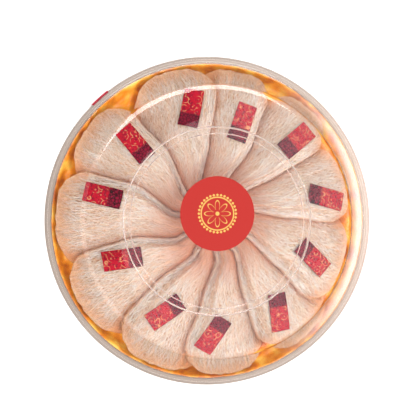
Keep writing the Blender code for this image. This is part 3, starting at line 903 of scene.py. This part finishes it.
@dataclass
class Nest:
    """One dried nest: a thin closed shell with a net of strands fused over it.

    Args:
        number: its number, clockwise from the top of the box.
        form: the shell that its strands follow.
    """

    number: int
    form: NestForm
    bed_depth: float = 0.52
    bed_rows: int = 60
    bed_columns: int = 44
    lanes_at_tip: float = 0.28
    lip_share: float = 0.085
    net_wave: float = 10.5
    under_wave: float = 17.0
    # Dark tone of the shell below the strands: painted shade in the gaps between them
    bed_painted_shade_tone: float = 0.30
    # Width and strength of the salmon painted shade in the grooves, and strength of the salmon near the tips
    groove_width: float = 7.0
    groove_painted_shade: float = 0.75
    tip_warmth: float = 0.75
    # Strength of the orange painted light from the satin at the outer ends and along the covered side
    painted_end_light: float = 0.45
    painted_edge_light: float = 0.35
    curtain_room: float = 7.0
    curtain_lean: float = 0.30

    def name(self) -> str:
        """Return the name of the node that this nest stands for."""
        return f"nest_{self.number:02d}"

    def shares(self, along: Array, across: Array, tone: Array) -> dict[str, Array]:
        """Return the numbers that colour each place.

        Args:
            along: share of the way from the tip to the outer end.
            across: share of the way from the lip to the tucked edge.
            tone: paleness.

        Returns:
            The tone, the salmon painted shade of sheltered places with salmon near the tips, and the orange
            painted light of the satin, by name.
        """
        # Salmon painted shade in the grooves beside the next nest's lip, weaker further out, and salmon near
        # the tips
        inside = self.form.covered(along, across)
        groove = self.groove_painted_shade - 0.30 * smooth_step(along, 0.25, 0.6)
        groove = smooth_step(inside, -self.groove_width, -0.5) * groove
        tip = self.tip_warmth * (1.0 - smooth_step(along, 0.06, 0.40))
        # Orange painted light from the satin at the outer ends and near the covered side towards them
        end = smooth_step(along, 0.84, 1.0)
        edge = smooth_step(along, 0.66, 0.95)
        glow = self.painted_end_light * end + self.painted_edge_light * edge * smooth_step(inside, -10.0, 0.0)
        warm = np.clip(groove + tip, 0.0, 1.0)
        place = np.stack([along * (self.form.place.reach - self.form.tip_radius),
                          across * STRAND_KINDS[Strands.NET].count], axis=-1)
        return {"tone": np.clip(tone, 0.0, 1.0), "warm": warm, "glow": np.clip(glow, 0.0, 0.9),
                "length_mm": place[..., 0], "lane": place[..., 1] + 100.0 * self.number}

    def bed(self) -> tuple[Array, Array, dict[str, Array]]:
        """Return the points, faces and shares of the shell below the strands."""
        along = np.linspace(0.0, 1.0, self.bed_rows)[:, None]
        across = (np.linspace(0.0, 1.0, self.bed_columns) ** 1.3)[None, :]
        along, across = np.broadcast_arrays(along, across)
        top = self.form.point(along, across, -self.bed_depth)
        bottom = self.form.point(along, across, -self.form.thickness + 1.8 * smooth_step(along, 0.85, 1.0))
        points, quads = slab(top, bottom)
        # The shell's dark tone is painted shade seen through the gaps between strands
        shares = self.shares(along, across, np.full(along.shape, self.bed_painted_shade_tone))
        return points, quads, {key: np.tile(value.ravel(), 2) for key, value in shares.items()}

    def lanes(self, along: Array) -> Array:
        """Return the share of the lanes that are filled at a place along the nest."""
        return self.lanes_at_tip + (1.0 - self.lanes_at_tip) * smooth_step(along, 0.0, 0.62)

    def lane_start(self, count: int, random: np.random.Generator) -> Array:
        """Return where the strand of each lane starts, so that the fan fills as it widens."""
        number = np.arange(count)
        late = np.where(number % 2 == 1, 0.44, np.where(number % 4 == 2, 0.15, 0.0))
        return np.clip(late + random.uniform(-0.12, 0.12, count) * (late > 0.0), 0.0, 0.7)[:, None]

    def ripple(self, along: Array, wave: float | Array, phase: Array) -> Array:
        """Return a ripple along each strand, from its wave's length in millimetres and its phase."""
        length = self.form.place.reach - self.form.tip_radius
        return np.sin(math.tau * along * length / wave + phase)

    def routes(self, kind: Strands, size: StrandKind,
               random: np.random.Generator) -> tuple[Array, Array, Array, Array]:
        """Return the routes of one kind of strand.

        Args:
            kind: which strands.
            size: their sizes.
            random: source of the strands' variety.

        Returns:
            Shares along and across, heights above the face and tones, one row for each strand.
        """
        count = size.count
        share = np.linspace(0.0, 1.0, size.steps)[None, :]
        number = np.arange(count)[:, None]
        phase = random.uniform(0.0, math.tau, (8, count, 1))
        length = self.form.place.reach - self.form.tip_radius
        tone = size.tone + random.uniform(-1.0, 1.0, (count, 1)) * size.tone_spread
        if kind in (Strands.LIP, Strands.CURTAIN):
            along = 0.004 + (0.978 + 0.01 * np.sin(phase[0])) * share
            weave = 0.55 * self.ripple(along, 23.0, phase[1])
            weave = weave + 0.50 * self.ripple(along, 9.5, phase[4])
            lift = 0.24 * self.ripple(along, 11.0, phase[2])
            tone = tone + 0.07 * self.ripple(along, 31.0, phase[3])
            if kind is Strands.LIP:
                across = self.lip_share * number / count + weave / self.form.width(along)
                lift = lift + 0.45 * np.sin(math.pi * (number + 0.5) / count)
                return along, np.clip(across, 0.0, 1.0), lift, tone
            return along, np.full(along.shape, 0.002), lift, tone
        start = self.lane_start(count, random)
        if kind is Strands.STRAY:
            start = random.uniform(0.02, 0.90, (count, 1)) ** 0.8
        stop = 1.004 - 0.05 * random.uniform(0.0, 1.0, (count, 1)) ** 2
        if kind is Strands.STRAY:
            stop = np.minimum(1.0, start + random.uniform(0.06, 0.20, (count, 1)))
        along = start + (stop - start) * share
        pitch = self.form.width(along) / (count * self.lanes(along))
        wave = (self.under_wave if kind is Strands.UNDER else self.net_wave)
        wave = wave * random.uniform(0.85, 1.2, (count, 1))
        turn = math.tau * along * length / wave + math.pi * number + 0.9 * np.sin(phase[1])
        wobble = 0.58 * pitch * np.sin(turn) + 0.22 * self.ripple(along, 5.2, phase[2])
        wobble = wobble + 1.1 * self.ripple(along, 47.0, phase[3] * 0.15)
        across = (number + 0.5 * (kind is Strands.UNDER)) / count
        forks = 1.0 - smooth_step(along - start, 0.0, 0.10)
        parent = np.where(random.uniform(0.0, 1.0, (count, 1)) < 0.5, -1.0, 1.0) / count
        across = across + parent * forks * (start > 0.0)
        if kind is Strands.STRAY:
            drift = random.choice([-1.0, 1.0], (count, 1)) * random.uniform(0.5, 7.0, (count, 1))
            loop = 0.8 * self.ripple(along, random.uniform(6.0, 12.0, (count, 1)), phase[7])
            wobble = wobble + drift * (share - 0.5) + loop * self.lanes(along)
        across = 0.008 + 0.985 * across + wobble / self.form.width(along)
        lift = 0.16 * np.cos(turn) + 0.14 * self.ripple(along, 9.0, phase[4])
        lift = lift + 0.20 * self.ripple(along, 38.0, phase[5])
        tone = tone + 0.14 * self.ripple(along, 23.0, phase[6])
        return along, np.clip(across, 0.004, 0.996), lift, tone

    def hang(self, along: Array, number: Array, count: int) -> tuple[Array, Array]:
        """Return how far each curtain strand lies out from and below the lip.

        Together they round the lip's edge off, down to the nest that it lies on.
        """
        top = self.form.point(along, np.zeros_like(along))
        below = self.form.neighbour.height_at(top[..., 0], top[..., 1])
        room = np.clip(top[..., 2] - below - 0.4, 0.0, self.curtain_room)
        turn = 0.5 * math.pi * (number + 0.5) / count
        return self.curtain_lean * room * np.sin(turn), room * (1.0 - np.cos(turn))

    def tubes(self, kind: Strands, random: np.random.Generator) -> tuple[Array, Array, list, dict]:
        """Return the points, side faces, end faces and shares of one kind of strand."""
        size = STRAND_KINDS[kind]
        along, across, lift, tone = self.routes(kind, size, random)
        count, steps = along.shape
        normal, aside = self.form.frame(along, across)
        centre = self.form.point(along, across) + normal * (lift - size.depth)[..., None]
        if kind is Strands.CURTAIN:
            out, drop = self.hang(along, np.arange(count)[:, None], count)
            flat = unit(aside * np.array([1.0, 1.0, 0.0]))
            centre = centre - out[..., None] * flat - drop[..., None] * np.array([0.0, 0.0, 1.0])
        waves = random.uniform(0.0, math.tau, (2, count, 1))
        girth = 1.0 + 0.22 * np.sin(math.tau * 6.0 * along + waves[0])
        girth = girth + 0.12 * np.sin(math.tau * 15.0 * along + waves[1])
        girth = girth * random.uniform(0.75, 1.25, (count, 1))
        reach = np.minimum(along - along[:, :1], along[:, -1:] - along)
        taper = np.minimum(1.0, 0.22 + 9.0 * reach)
        crowding = 0.62 + 0.38 * smooth_step(along, 0.0, 0.45)
        girth = (girth * taper * crowding)[..., None]
        turn = math.tau * (np.arange(size.sides) + 0.5) / size.sides
        out = (size.half_width * girth * np.cos(turn))[..., None] * aside[:, :, None, :]
        up = (size.half_height * girth * np.sin(turn))[..., None] * normal[:, :, None, :]
        points = (centre[:, :, None, :] + out + up).reshape(-1, 3)
        number = np.arange(len(points)).reshape(count, steps, size.sides)
        after = np.roll(number, -1, axis=2)
        quads = np.stack([number[:, :-1], after[:, :-1], after[:, 1:], number[:, 1:]], axis=-1)
        ends = number[:, 0, ::-1].tolist() + number[:, -1].tolist()
        shares = self.shares(along, across, np.broadcast_to(tone, along.shape))
        # Lower curtain strands under the lip get more salmon painted shade; the lips get less
        if kind is Strands.CURTAIN:
            depth = np.broadcast_to(np.arange(count)[:, None] / count, along.shape)
            shares["warm"] = np.maximum(0.6 * shares["warm"], 0.18 + 0.5 * depth)
        if kind is Strands.LIP:
            shares["warm"] = 0.6 * shares["warm"]
        shares = {key: np.repeat(value.ravel(), size.sides) for key, value in shares.items()}
        return points, quads.reshape(-1, 4), ends, shares

    def build(self, finish: bpy.types.Material) -> bpy.types.Object:
        """Build the nest and dress it.

        Args:
            finish: material of the strands.

        Returns:
            The nest's object.
        """
        random = np.random.default_rng(FIRST_SEED + self.number)
        points, quads, shares = self.bed()
        ends: list[list[int]] = []
        for kind in Strands:
            more, sides, caps, more_shares = self.tubes(kind, random)
            start = len(points)
            points = np.concatenate([points, more])
            quads = np.concatenate([quads, sides + start])
            ends += [[corner + start for corner in cap] for cap in caps]
            shares = {key: np.concatenate([shares[key], more_shares[key]]) for key in shares}
        item = make_mesh(f"{self.name()}_strands", points, quads, ends, shares=shares)
        item.data.materials.append(finish)
        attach(item, BODY)
        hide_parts(self.name())
        return item


@dataclass
class Label:
    """One small paper label, bent over its nest.

    Args:
        number: the number of its nest.
        form: the nest's form.
    """

    number: int
    form: NestForm
    length: float = 28.0
    width: float = 14.0
    lift: float = 1.5
    paper: float = 0.3
    rows: int = 22
    columns: int = 12
    bridge: float = 3.0
    print_step: float = 17.0

    def build(self, finish: bpy.types.Material) -> bpy.types.Object:
        """Build the label and dress it.

        Args:
            finish: material of the printed paper.

        Returns:
            The label's object.
        """
        place = self.form.place
        turn, middle = math.radians(place.label_turn), math.radians(place.lip + place.label_angle)
        share_along = np.linspace(0.0, 1.0, self.rows)[:, None]
        share_across = np.linspace(0.0, 1.0, self.columns)[None, :]
        share_along, share_across = np.broadcast_arrays(share_along, share_across)
        length, width = (share_along - 0.5) * self.length, (share_across - 0.5) * self.width
        outward = place.label_radius + length * math.cos(turn) - width * math.sin(turn)
        sideways = length * math.sin(turn) + width * math.cos(turn)
        x = outward * math.cos(middle) - sideways * math.sin(middle)
        y = outward * math.sin(middle) + sideways * math.cos(middle)
        nearby = [self.form.height_at(x + dx * self.bridge, y + dy * self.bridge)
                  for dx, dy in ((0, 0), (1, 0), (-1, 0), (0, 1), (0, -1))]
        height = 0.5 * np.max(nearby, axis=0) + 0.5 * np.mean(nearby, axis=0) + self.lift
        top = np.stack([x, y, height], axis=-1)
        under = top - np.array([0.0, 0.0, self.paper])
        points, quads = slab(top, under)
        uv = np.tile(np.stack([share_along, share_across], axis=-1).reshape(-1, 2), (2, 1))
        name = f"label_{self.number:02d}"
        shift = np.full(len(points), self.print_step * self.number)
        item = make_mesh(f"{name}_print", points, quads, uv=uv, shares={"print_shift": shift})
        item.data.materials.append(finish)
        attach(item, BODY)
        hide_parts(name)
        return item


@dataclass(frozen=True)
class Corner:
    """A corner of a turned profile.

    Args:
        radius: distance from the axis.
        height: height above the table.
        rounding: radius of the fillet at the corner.
    """

    radius: float
    height: float
    rounding: float = 0.0


def rounded_profile(corners: list[Corner], arc_steps: int = 6) -> Array:
    """Round the corners of a profile.

    Args:
        corners: corners in order.
        arc_steps: number of straight steps in each fillet.

    Returns:
        Points of (radius, height), one row each.
    """
    points = []
    for index, corner in enumerate(corners):
        here = np.array([corner.radius, corner.height])
        if corner.rounding <= 0.0 or index in (0, len(corners) - 1):
            points.append(here)
            continue
        before, after = corners[index - 1], corners[index + 1]
        back = unit(np.array([before.radius, before.height]) - here)
        ahead = unit(np.array([after.radius, after.height]) - here)
        half = 0.5 * math.acos(float(np.clip(back @ ahead, -1.0, 1.0)))
        reach = corner.rounding / math.tan(half)
        start, stop = here + back * reach, here + ahead * reach
        for share in np.linspace(0.0, 1.0, arc_steps + 1):
            points.append((1 - share) ** 2 * start + 2 * share * (1 - share) * here + share ** 2 * stop)
    return np.array(points)


def turned(name: str, profile: Array, steps: int) -> bpy.types.Object:
    """Turn a closed profile that starts and ends on the vertical axis.

    Args:
        name: name of the object.
        profile: points of (radius, height), down the outer side first.
        steps: number of steps round the axis.

    Returns:
        The turned object.
    """
    inner = profile[1:-1]
    azimuth = np.degrees(math.tau * np.arange(steps) / steps)
    rings = polar(inner[:, 0][:, None], azimuth[None, :], inner[:, 1][:, None])
    points = np.concatenate([rings.reshape(-1, 3), [[0.0, 0.0, profile[0, 1]], [0.0, 0.0, profile[-1, 1]]]])
    number = np.arange(len(inner) * steps).reshape(len(inner), steps)
    after = np.roll(number, -1, axis=1)
    quads = np.stack([number[:-1], number[1:], after[1:], after[:-1]], axis=-1).reshape(-1, 4)
    first, last = len(points) - 2, len(points) - 1
    caps = [[first, int(number[0, i]), int(after[0, i])] for i in range(steps)]
    caps += [[last, int(after[-1, i]), int(number[-1, i])] for i in range(steps)]
    item = make_mesh(name, points, quads, caps)
    item.data.set_sharp_from_angle(angle=math.radians(SHARP_DEGREES))
    return item


@dataclass
class ClearBox:
    """The clear tray and its lid."""

    radius: float = 120.0
    wall: float = 1.2
    lid_wall: float = 0.65
    steps: int = 240
    tray_floor_radius: float = 109.0
    tray_heel_radius: float = 112.4
    tray_heel_height: float = 3.4
    tray_mouth_radius: float = 116.0
    tray_flange_radius: float = 118.4
    tray_height: float = 21.8
    skirt_bottom: float = 17.4
    flange_top: float = 23.4
    wall_foot_radius: float = 116.2
    shoulder_radius: float = 96.1
    shoulder_fillet: float = 7.0
    step_radius: float = 66.5
    recess_radius: float = 62.0
    recess_depth: float = 2.6
    bead_height: float = 0.5
    flange_line: float = 118.0
    flange_line_half: float = 0.25
    ring_reach: float = 0.6
    lid_milky_inset: float = 0.4
    tray_milky_inset: float = 2.4
    height: float = 65.0

    def recess_top(self) -> float:
        """Return the height of the lid's recessed middle."""
        return self.height - self.recess_depth

    def build_tray(self, finishes: list[bpy.types.Material]) -> bpy.types.Object:
        """Build the tray: flat underside, rounded heel, leaning wall and flange."""
        wall = self.wall * 0.85
        corners = [
            Corner(0.0, self.wall), Corner(self.tray_floor_radius - 0.6, self.wall),
            Corner(self.tray_heel_radius - wall - 0.6, self.tray_heel_height - 1.2, 2.0),
            Corner(self.tray_mouth_radius - wall, self.tray_height, 0.3),
            Corner(self.tray_flange_radius, self.tray_height, 0.3),
            Corner(self.tray_flange_radius, self.tray_height - self.wall, 0.3),
            Corner(self.tray_mouth_radius, self.tray_height - self.wall, 0.5),
            Corner(self.tray_heel_radius, self.tray_heel_height, 1.0),
            Corner(self.tray_floor_radius, 0.0, 1.2), Corner(0.0, 0.0)]
        item = turned("clear_tray", rounded_profile(corners), self.steps)
        return self.dress(item, "base_tray", finishes)

    def build_lid(self, finishes: list[bpy.types.Material]) -> bpy.types.Object:
        """Build the lid: recess, crown, shoulder, sloping wall, flange and skirt."""
        top, flange_under = self.recess_top(), self.flange_top - self.wall
        lean = (self.wall_foot_radius - self.shoulder_radius) / (self.height - self.flange_top)
        thin, aside = self.lid_wall, self.lid_wall * math.hypot(1.0, lean)
        corners = [
            Corner(0.0, top), Corner(self.recess_radius - 0.35, top, 0.1),
            Corner(self.recess_radius, top + self.bead_height, 0.16),
            Corner(self.recess_radius + 0.35, top, 0.1),
            Corner(self.step_radius - 0.5, top, 0.2), Corner(self.step_radius, self.height, 0.25),
            Corner(self.shoulder_radius, self.height, self.shoulder_fillet),
            Corner(self.wall_foot_radius, self.flange_top, 1.0),
            Corner(self.flange_line - self.flange_line_half, self.flange_top),
            Corner(self.flange_line + self.flange_line_half, self.flange_top),
            Corner(self.radius, self.flange_top, 0.5), Corner(self.radius, self.skirt_bottom, 0.3),
            Corner(self.radius - self.wall, self.skirt_bottom, 0.3),
            Corner(self.radius - self.wall, flange_under, 0.3),
            Corner(self.wall_foot_radius + lean * self.wall - aside, flange_under, 0.4),
            Corner(self.shoulder_radius + lean * thin - aside, self.height - thin,
                   self.shoulder_fillet - thin),
            Corner(self.step_radius + 0.54, self.height - thin, 0.2),
            Corner(self.step_radius + 0.04, top - thin, 0.2), Corner(0.0, top - thin)]
        item = turned("clear_lid", rounded_profile(corners, 8), self.steps)
        return self.dress(item, "lid", finishes)

    def dress(self, item: bpy.types.Object, node: str,
              finishes: list[bpy.types.Material]) -> bpy.types.Object:
        """Give a clear piece its materials and place.

        Args:
            item: the clear piece.
            node: name of the node that it stands for.
            finishes: materials of its walls, of its flange, and of the painted highlights on the lid's step
                and bead.

        Returns:
            The piece.
        """
        ring_radii = (self.recess_radius, self.step_radius)
        is_lid = node == "lid"
        for finish in finishes if is_lid else finishes[:2]:
            item.data.materials.append(finish)
        milky_radius = self.wall_foot_radius - (self.lid_milky_inset if is_lid else self.tray_milky_inset)
        # Faces near the step and bead, and a thin line on the flange top, take the pale painted-highlight
        # finish; the rest of the rim takes the milky one
        for face in item.data.polygons:
            outward = math.hypot(face.center.x, face.center.y) / MM
            if outward > milky_radius:
                on_line = is_lid and abs(outward - self.flange_line) < 0.8 * self.flange_line_half
                face.material_index = 2 if on_line and face.normal.z > 0.5 else 1
            elif is_lid and min(abs(outward - radius) for radius in ring_radii) < self.ring_reach:
                face.material_index = 2
        # Thin clear walls bend soft light so little that it may pass them straight
        item.visible_shadow = False
        item.visible_diffuse = False
        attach(item, BODY)
        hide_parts(node)
        return item


@dataclass
class SatinLining:
    """The satin over the tray's bed, with its gathered folds along the wall."""

    bed_height: float = 5.3
    mound_height: float = 13.0
    mound_radius: float = 36.0
    bed_radius: float = 84.0
    shelf_radius: float = 103.0
    shelf_height: float = 14.6
    edge_height: float = 21.0
    outer_radius: float = 114.6
    fold_height: float = 3.6
    cloth: float = 0.4
    rows: int = 56
    steps: int = 400
    flat_diameter: float = 262.0

    def folds(self, radius: Array, azimuth: Array) -> Array:
        """Return the height of the gathered folds, as a share of the highest."""
        out = radius - self.shelf_radius
        warp = 0.35 * np.sin(3.0 * azimuth + 0.7) + 0.25 * np.sin(7.0 * azimuth + 2.1)
        swept = 13.0 * azimuth + 2.4 * warp + 0.16 * out
        crossed = 21.0 * azimuth - 1.9 * warp - 0.24 * out + 1.3
        ridge = 1.0 - np.abs(np.sin(swept)) ** 0.8
        other = 1.0 - np.abs(np.sin(crossed)) ** 0.9
        soft = 0.5 + 0.5 * np.sin(9.0 * azimuth + 0.35 * out + 3.0 * warp)
        return 0.62 * ridge + 0.45 * other * soft + 0.12 * np.sin(47.0 * azimuth + 0.5 * out)

    def height(self, radius: Array, azimuth: Array) -> Array:
        """Return the height of the cloth at a distance and an azimuth in radians."""
        mound = 1.0 - smooth_step(radius, 0.0, self.mound_radius)
        shelf = smooth_step(radius, self.bed_radius, self.shelf_radius)
        edge = smooth_step(radius, self.shelf_radius + 5.0, self.outer_radius)
        gather = smooth_step(radius, self.bed_radius, self.shelf_radius - 3.0)
        return (self.bed_height + (self.mound_height - self.bed_height) * mound
                + (self.shelf_height - self.bed_height) * shelf
                + (self.edge_height - self.shelf_height) * edge
                + self.fold_height * gather * (self.folds(radius, azimuth) - 0.35))

    def build(self, finish: bpy.types.Material) -> bpy.types.Object:
        """Build the lining and dress it.

        Args:
            finish: material of the satin.

        Returns:
            The lining's object.
        """
        share = np.linspace(0.0, 1.0, self.rows)[:, None]
        radius = 0.4 + (self.outer_radius - 0.4) * (1.0 - (1.0 - share) ** 1.8)
        azimuth = (math.tau * np.arange(self.steps) / self.steps)[None, :]
        radius, azimuth = np.broadcast_arrays(radius, azimuth)
        upper = polar(radius, np.degrees(azimuth), self.height(radius, azimuth)).reshape(-1, 3)
        points = np.concatenate([upper, upper - np.array([0.0, 0.0, self.cloth])])
        size = len(upper)
        number = np.arange(size).reshape(self.rows, self.steps)
        after = np.roll(number, -1, axis=1)
        face = np.stack([number[:-1], number[1:], after[1:], after[:-1]], axis=-1).reshape(-1, 4)
        rim = np.stack([number[-1], number[-1] + size, after[-1] + size, after[-1]], axis=-1)
        quads = np.concatenate([face, face[:, ::-1] + size, rim])
        caps = [number[0].tolist(), (number[0, ::-1] + size).tolist()]
        item = make_mesh("satin_cloth", points, quads, caps)
        item.data.materials.append(finish)
        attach(item, BODY)
        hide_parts("satin_lining")
        return item


@dataclass
class RoundSticker:
    """The round paper sticker in the lid's recess."""

    radius: float = 26.5
    offset: float = 5.3
    paper: float = 0.3
    glue: float = 0.25
    steps: int = 96

    def build(self, seat: float, finish: bpy.types.Material) -> bpy.types.Object:
        """Build the sticker and dress it.

        Args:
            seat: height of the face that it sticks to.
            finish: material of the printed paper.

        Returns:
            The sticker's object.
        """
        low = seat + self.glue
        high = low + self.paper
        profile = np.array([[0.0, high], [self.radius * 0.5, high], [self.radius - 0.1, high],
                            [self.radius, 0.5 * (low + high)], [self.radius - 0.1, low], [0.0, low]])
        item = turned("sticker_print", profile, self.steps)
        item.data.transform(Matrix.Translation((0.0, self.offset * MM, 0.0)))
        item.data.materials.append(finish)
        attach(item, BODY)
        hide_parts("round_sticker")
        return item


@dataclass
class RimSeal:
    """The small paper seal that holds lid and tray together."""

    azimuth: float = 132.0
    width: float = 15.0
    box_radius: float = 120.0
    stand_off: float = 0.6
    top: float = 23.6
    skirt_bottom: float = 17.4
    tray_wall_radius: float = 116.0
    paper: float = 0.3
    rows: int = 40
    columns: int = 12

    def build(self, finish: bpy.types.Material) -> bpy.types.Object:
        """Build the seal and dress it.

        Args:
            finish: material of the paper.

        Returns:
            The seal's object.
        """
        outer = self.box_radius + self.stand_off
        corners = [
            Corner(self.box_radius - 0.7, self.top + 0.4), Corner(outer, self.top + 0.4, 0.5),
            Corner(outer, self.skirt_bottom - 0.2, 1.0),
            Corner(self.tray_wall_radius + 0.9, self.skirt_bottom - 4.6, 1.5),
            Corner(self.tray_wall_radius - 0.9, self.skirt_bottom - 8.4)]
        path = rounded_profile(corners, self.rows // 4)
        half = math.degrees(0.5 * self.width / self.box_radius)
        azimuth = self.azimuth + half * np.linspace(-1.0, 1.0, self.columns)[None, :]
        top = polar(path[:, 0][:, None], azimuth, path[:, 1][:, None])
        inward = unit(top * np.array([-1.0, -1.0, 0.0]))
        under = top + self.paper * (inward - np.array([0.0, 0.0, 0.35]))
        points, quads = slab(top, under)
        item = make_mesh("rim_seal_paper", points, quads)
        item.data.materials.append(finish)
        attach(item, BODY)
        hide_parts("rim_seal")
        return item


@dataclass
class Studio:
    """The table, the lamps and the camera."""

    pixels: float = 416.0
    pixels_per_mm: float = 1.3667
    rim_height: float = 23.4
    distance: float = 1100.0
    tilt_degrees: float = 8.0
    rim_centre: tuple[float, float] = (209.6, 220.7)
    sensor_mm: float = 36.0
    wall_light: float = 1.1
    wall_mirrored: float = 0.5
    ceiling_light: float = 1.1
    wall_top: float = 0.84
    ceiling_edge: float = 0.93
    air_colour: str = "#F2F1EF"
    table_half: float = 2500.0
    table_drop: float = 0.3

    def build_camera(self) -> bpy.types.Object:
        """Place the camera above the box, leaning to its left, as the photograph was taken."""
        tilt = math.radians(self.tilt_degrees)
        right = Vector((math.cos(tilt), 0.0, math.sin(tilt)))
        up = Vector((0.0, 1.0, 0.0))
        ahead = Vector((math.sin(tilt), 0.0, -math.cos(tilt)))
        half = 0.5 * self.pixels
        aside = (half - self.rim_centre[0]) / self.pixels_per_mm
        above = (self.rim_centre[1] - half) / self.pixels_per_mm
        place = Vector((0.0, 0.0, self.rim_height)) - ahead * self.distance + right * aside + up * above
        data = bpy.data.cameras.new("photo_camera")
        data.sensor_width = self.sensor_mm
        data.lens = self.sensor_mm * self.pixels_per_mm * self.distance / self.pixels
        data.clip_start, data.clip_end = 0.05, 20.0
        camera = bpy.data.objects.new("photo_camera", data)
        bpy.context.scene.collection.objects.link(camera)
        turn = Matrix((right, up, -ahead)).transposed().to_4x4()
        camera.matrix_world = Matrix.Translation(place * MM) @ turn
        bpy.context.scene.camera = camera
        return camera

    def add_softbox(self, name: str, azimuth: float, from_vertical: float, distance: float,
                    size: tuple[float, float], power: float) -> bpy.types.Object:
        """Hang a softbox that faces the box.

        Args:
            name: name of the lamp.
            azimuth: direction from the box, in degrees from +X.
            from_vertical: angle away from straight above, in degrees.
            distance: distance from the box, in metres.
            size: width and height, in metres.
            power: power in watts.

        Returns:
            The lamp's object.
        """
        data = bpy.data.lights.new(name, "AREA")
        data.shape = "RECTANGLE"
        data.size, data.size_y = size
        data.energy = power
        lamp = bpy.data.objects.new(name, data)
        bpy.context.scene.collection.objects.link(lamp)
        lean, turn = math.radians(from_vertical), math.radians(azimuth)
        way = Vector((math.sin(lean) * math.cos(turn), math.sin(lean) * math.sin(turn), math.cos(lean)))
        lamp.location = way * distance
        lamp.rotation_mode = "QUATERNION"
        lamp.rotation_quaternion = way.to_track_quat("Z", "Y")
        return lamp

    def aim_at(self, lamp: bpy.types.Object, pieces: list[bpy.types.Object]) -> None:
        """Let a lamp light only some pieces, as flags and cards do in a studio."""
        group = bpy.data.collections.new(f"{lamp.name}_lights")
        for piece in pieces:
            group.objects.link(piece)
        lamp.light_linking.receiver_collection = group

    def build_lamps(self, clear: list[bpy.types.Object], solid: list[bpy.types.Object]) -> None:
        """Hang the lamps.

        Args:
            clear: the clear pieces, which show the window panel in their curves.
            solid: all other pieces, lit by the overhead softbox.
        """
        overhead = self.add_softbox("overhead_softbox", azimuth=335.0, from_vertical=36.0,
                                    distance=1.5, size=(2.0, 1.8), power=18.5)
        fill = self.add_softbox("fill_softbox", azimuth=215.0, from_vertical=48.0,
                                distance=1.5, size=(1.6, 1.4), power=6.0)
        overhead.visible_glossy = fill.visible_glossy = False
        satin = self.add_softbox("satin_panel", azimuth=190.0, from_vertical=12.0,
                                 distance=1.5, size=(0.9, 0.9), power=13.0)
        self.aim_at(satin, [piece for piece in solid if piece.name.startswith("satin")])
        side = self.add_softbox("side_panel", azimuth=12.0, from_vertical=72.0,
                                distance=0.30, size=(0.12, 0.20), power=0.9)
        self.aim_at(side, clear)
        glint = self.add_softbox("glint_panel", azimuth=0.0, from_vertical=14.0,
                                 distance=1.5, size=(0.26, 0.26), power=7.0)
        self.aim_at(glint, [piece for piece in solid if not piece.name.startswith(("label", "sticker"))])
        window = self.add_softbox("window_panel", azimuth=95.0, from_vertical=52.0,
                                  distance=1.5, size=(1.9, 1.5), power=70.0)
        self.aim_at(window, clear)
        side.visible_glossy = False
        for panel in (window, glint, satin, side):
            panel.visible_transmission = False
        window.visible_diffuse = glint.visible_diffuse = False

    def build(self, paint: bpy.types.Material) -> None:
        """Build the camera, the table and the world's even light."""
        self.build_camera()
        half, low = self.table_half, -self.table_drop
        corners = np.array([[-half, -half, low], [half, -half, low], [half, half, low], [-half, half, low]])
        table = make_mesh("table", corners, np.array([[0, 1, 2, 3]]))
        table.data.materials.append(paint)
        world = bpy.data.worlds.new("studio_air")
        bpy.context.scene.world = world
        world.use_nodes = True
        tree = world.node_tree
        air = tree.nodes["Background"]
        air.inputs["Color"].default_value = to_linear(self.air_colour)
        # Pale walls all round; mirrors see them dimmer, and no ceiling at all
        way = add_node(tree, "ShaderNodeTexCoord").outputs["Generated"]
        height = add_node(tree, "ShaderNodeSeparateXYZ", {0: way}).outputs["Z"]
        spread, mirrored = (add_node(tree, "ShaderNodeMapRange", {
            "Value": height, "From Min": self.wall_top, "From Max": self.ceiling_edge,
            "To Min": wall, "To Max": ceiling}).outputs["Result"]
            for wall, ceiling in ((self.wall_light, self.ceiling_light), (self.wall_mirrored, 0.0)))
        path = add_node(tree, "ShaderNodeLightPath")
        strength = add_node(tree, "ShaderNodeMix", {
            0: path.outputs["Is Glossy Ray"], 2: spread, 3: mirrored})
        tree.links.new(strength.outputs[0], air.inputs["Strength"])
        scene = bpy.context.scene
        scene.view_settings.view_transform = "Standard"
        scene.view_settings.look = "None"


def main() -> None:
    """Build every piece in order and report it."""
    logging.basicConfig(level=logging.INFO, format="%(name)s: %(message)s")
    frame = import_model()
    LOG.info("frame with %d nodes", len(frame["nodes"]))
    studio = Studio()
    studio.build(TablePaint().build())
    plastic = ClearPolystyrene()
    clear = [plastic.build(), plastic.build_rim(), plastic.build_painted_highlight_ring()]
    box = ClearBox()
    clear_pieces = [box.build_tray(clear)]
    solid_pieces = [SatinLining().build(WovenSatin().build())]
    strand = DriedStrand().build()
    label_paper = PrintedLabel(Label.length, Label.width).build()
    sticker_paper = GiltSticker(RoundSticker.offset).build()
    for number, form in enumerate(lay_out_forms(), start=1):
        solid_pieces.append(Nest(number, form).build(strand))
        solid_pieces.append(Label(number, form).build(label_paper))
    clear_pieces.append(box.build_lid(clear))
    solid_pieces.append(RoundSticker().build(box.recess_top(), sticker_paper))
    solid_pieces.append(RimSeal().build(SealPaper().build()))
    studio.build_lamps(clear_pieces, solid_pieces)
    for piece in clear_pieces + solid_pieces:
        LOG.info("%s with %d faces", piece.name, len(piece.data.polygons))


if __name__ == "__main__":
    main()
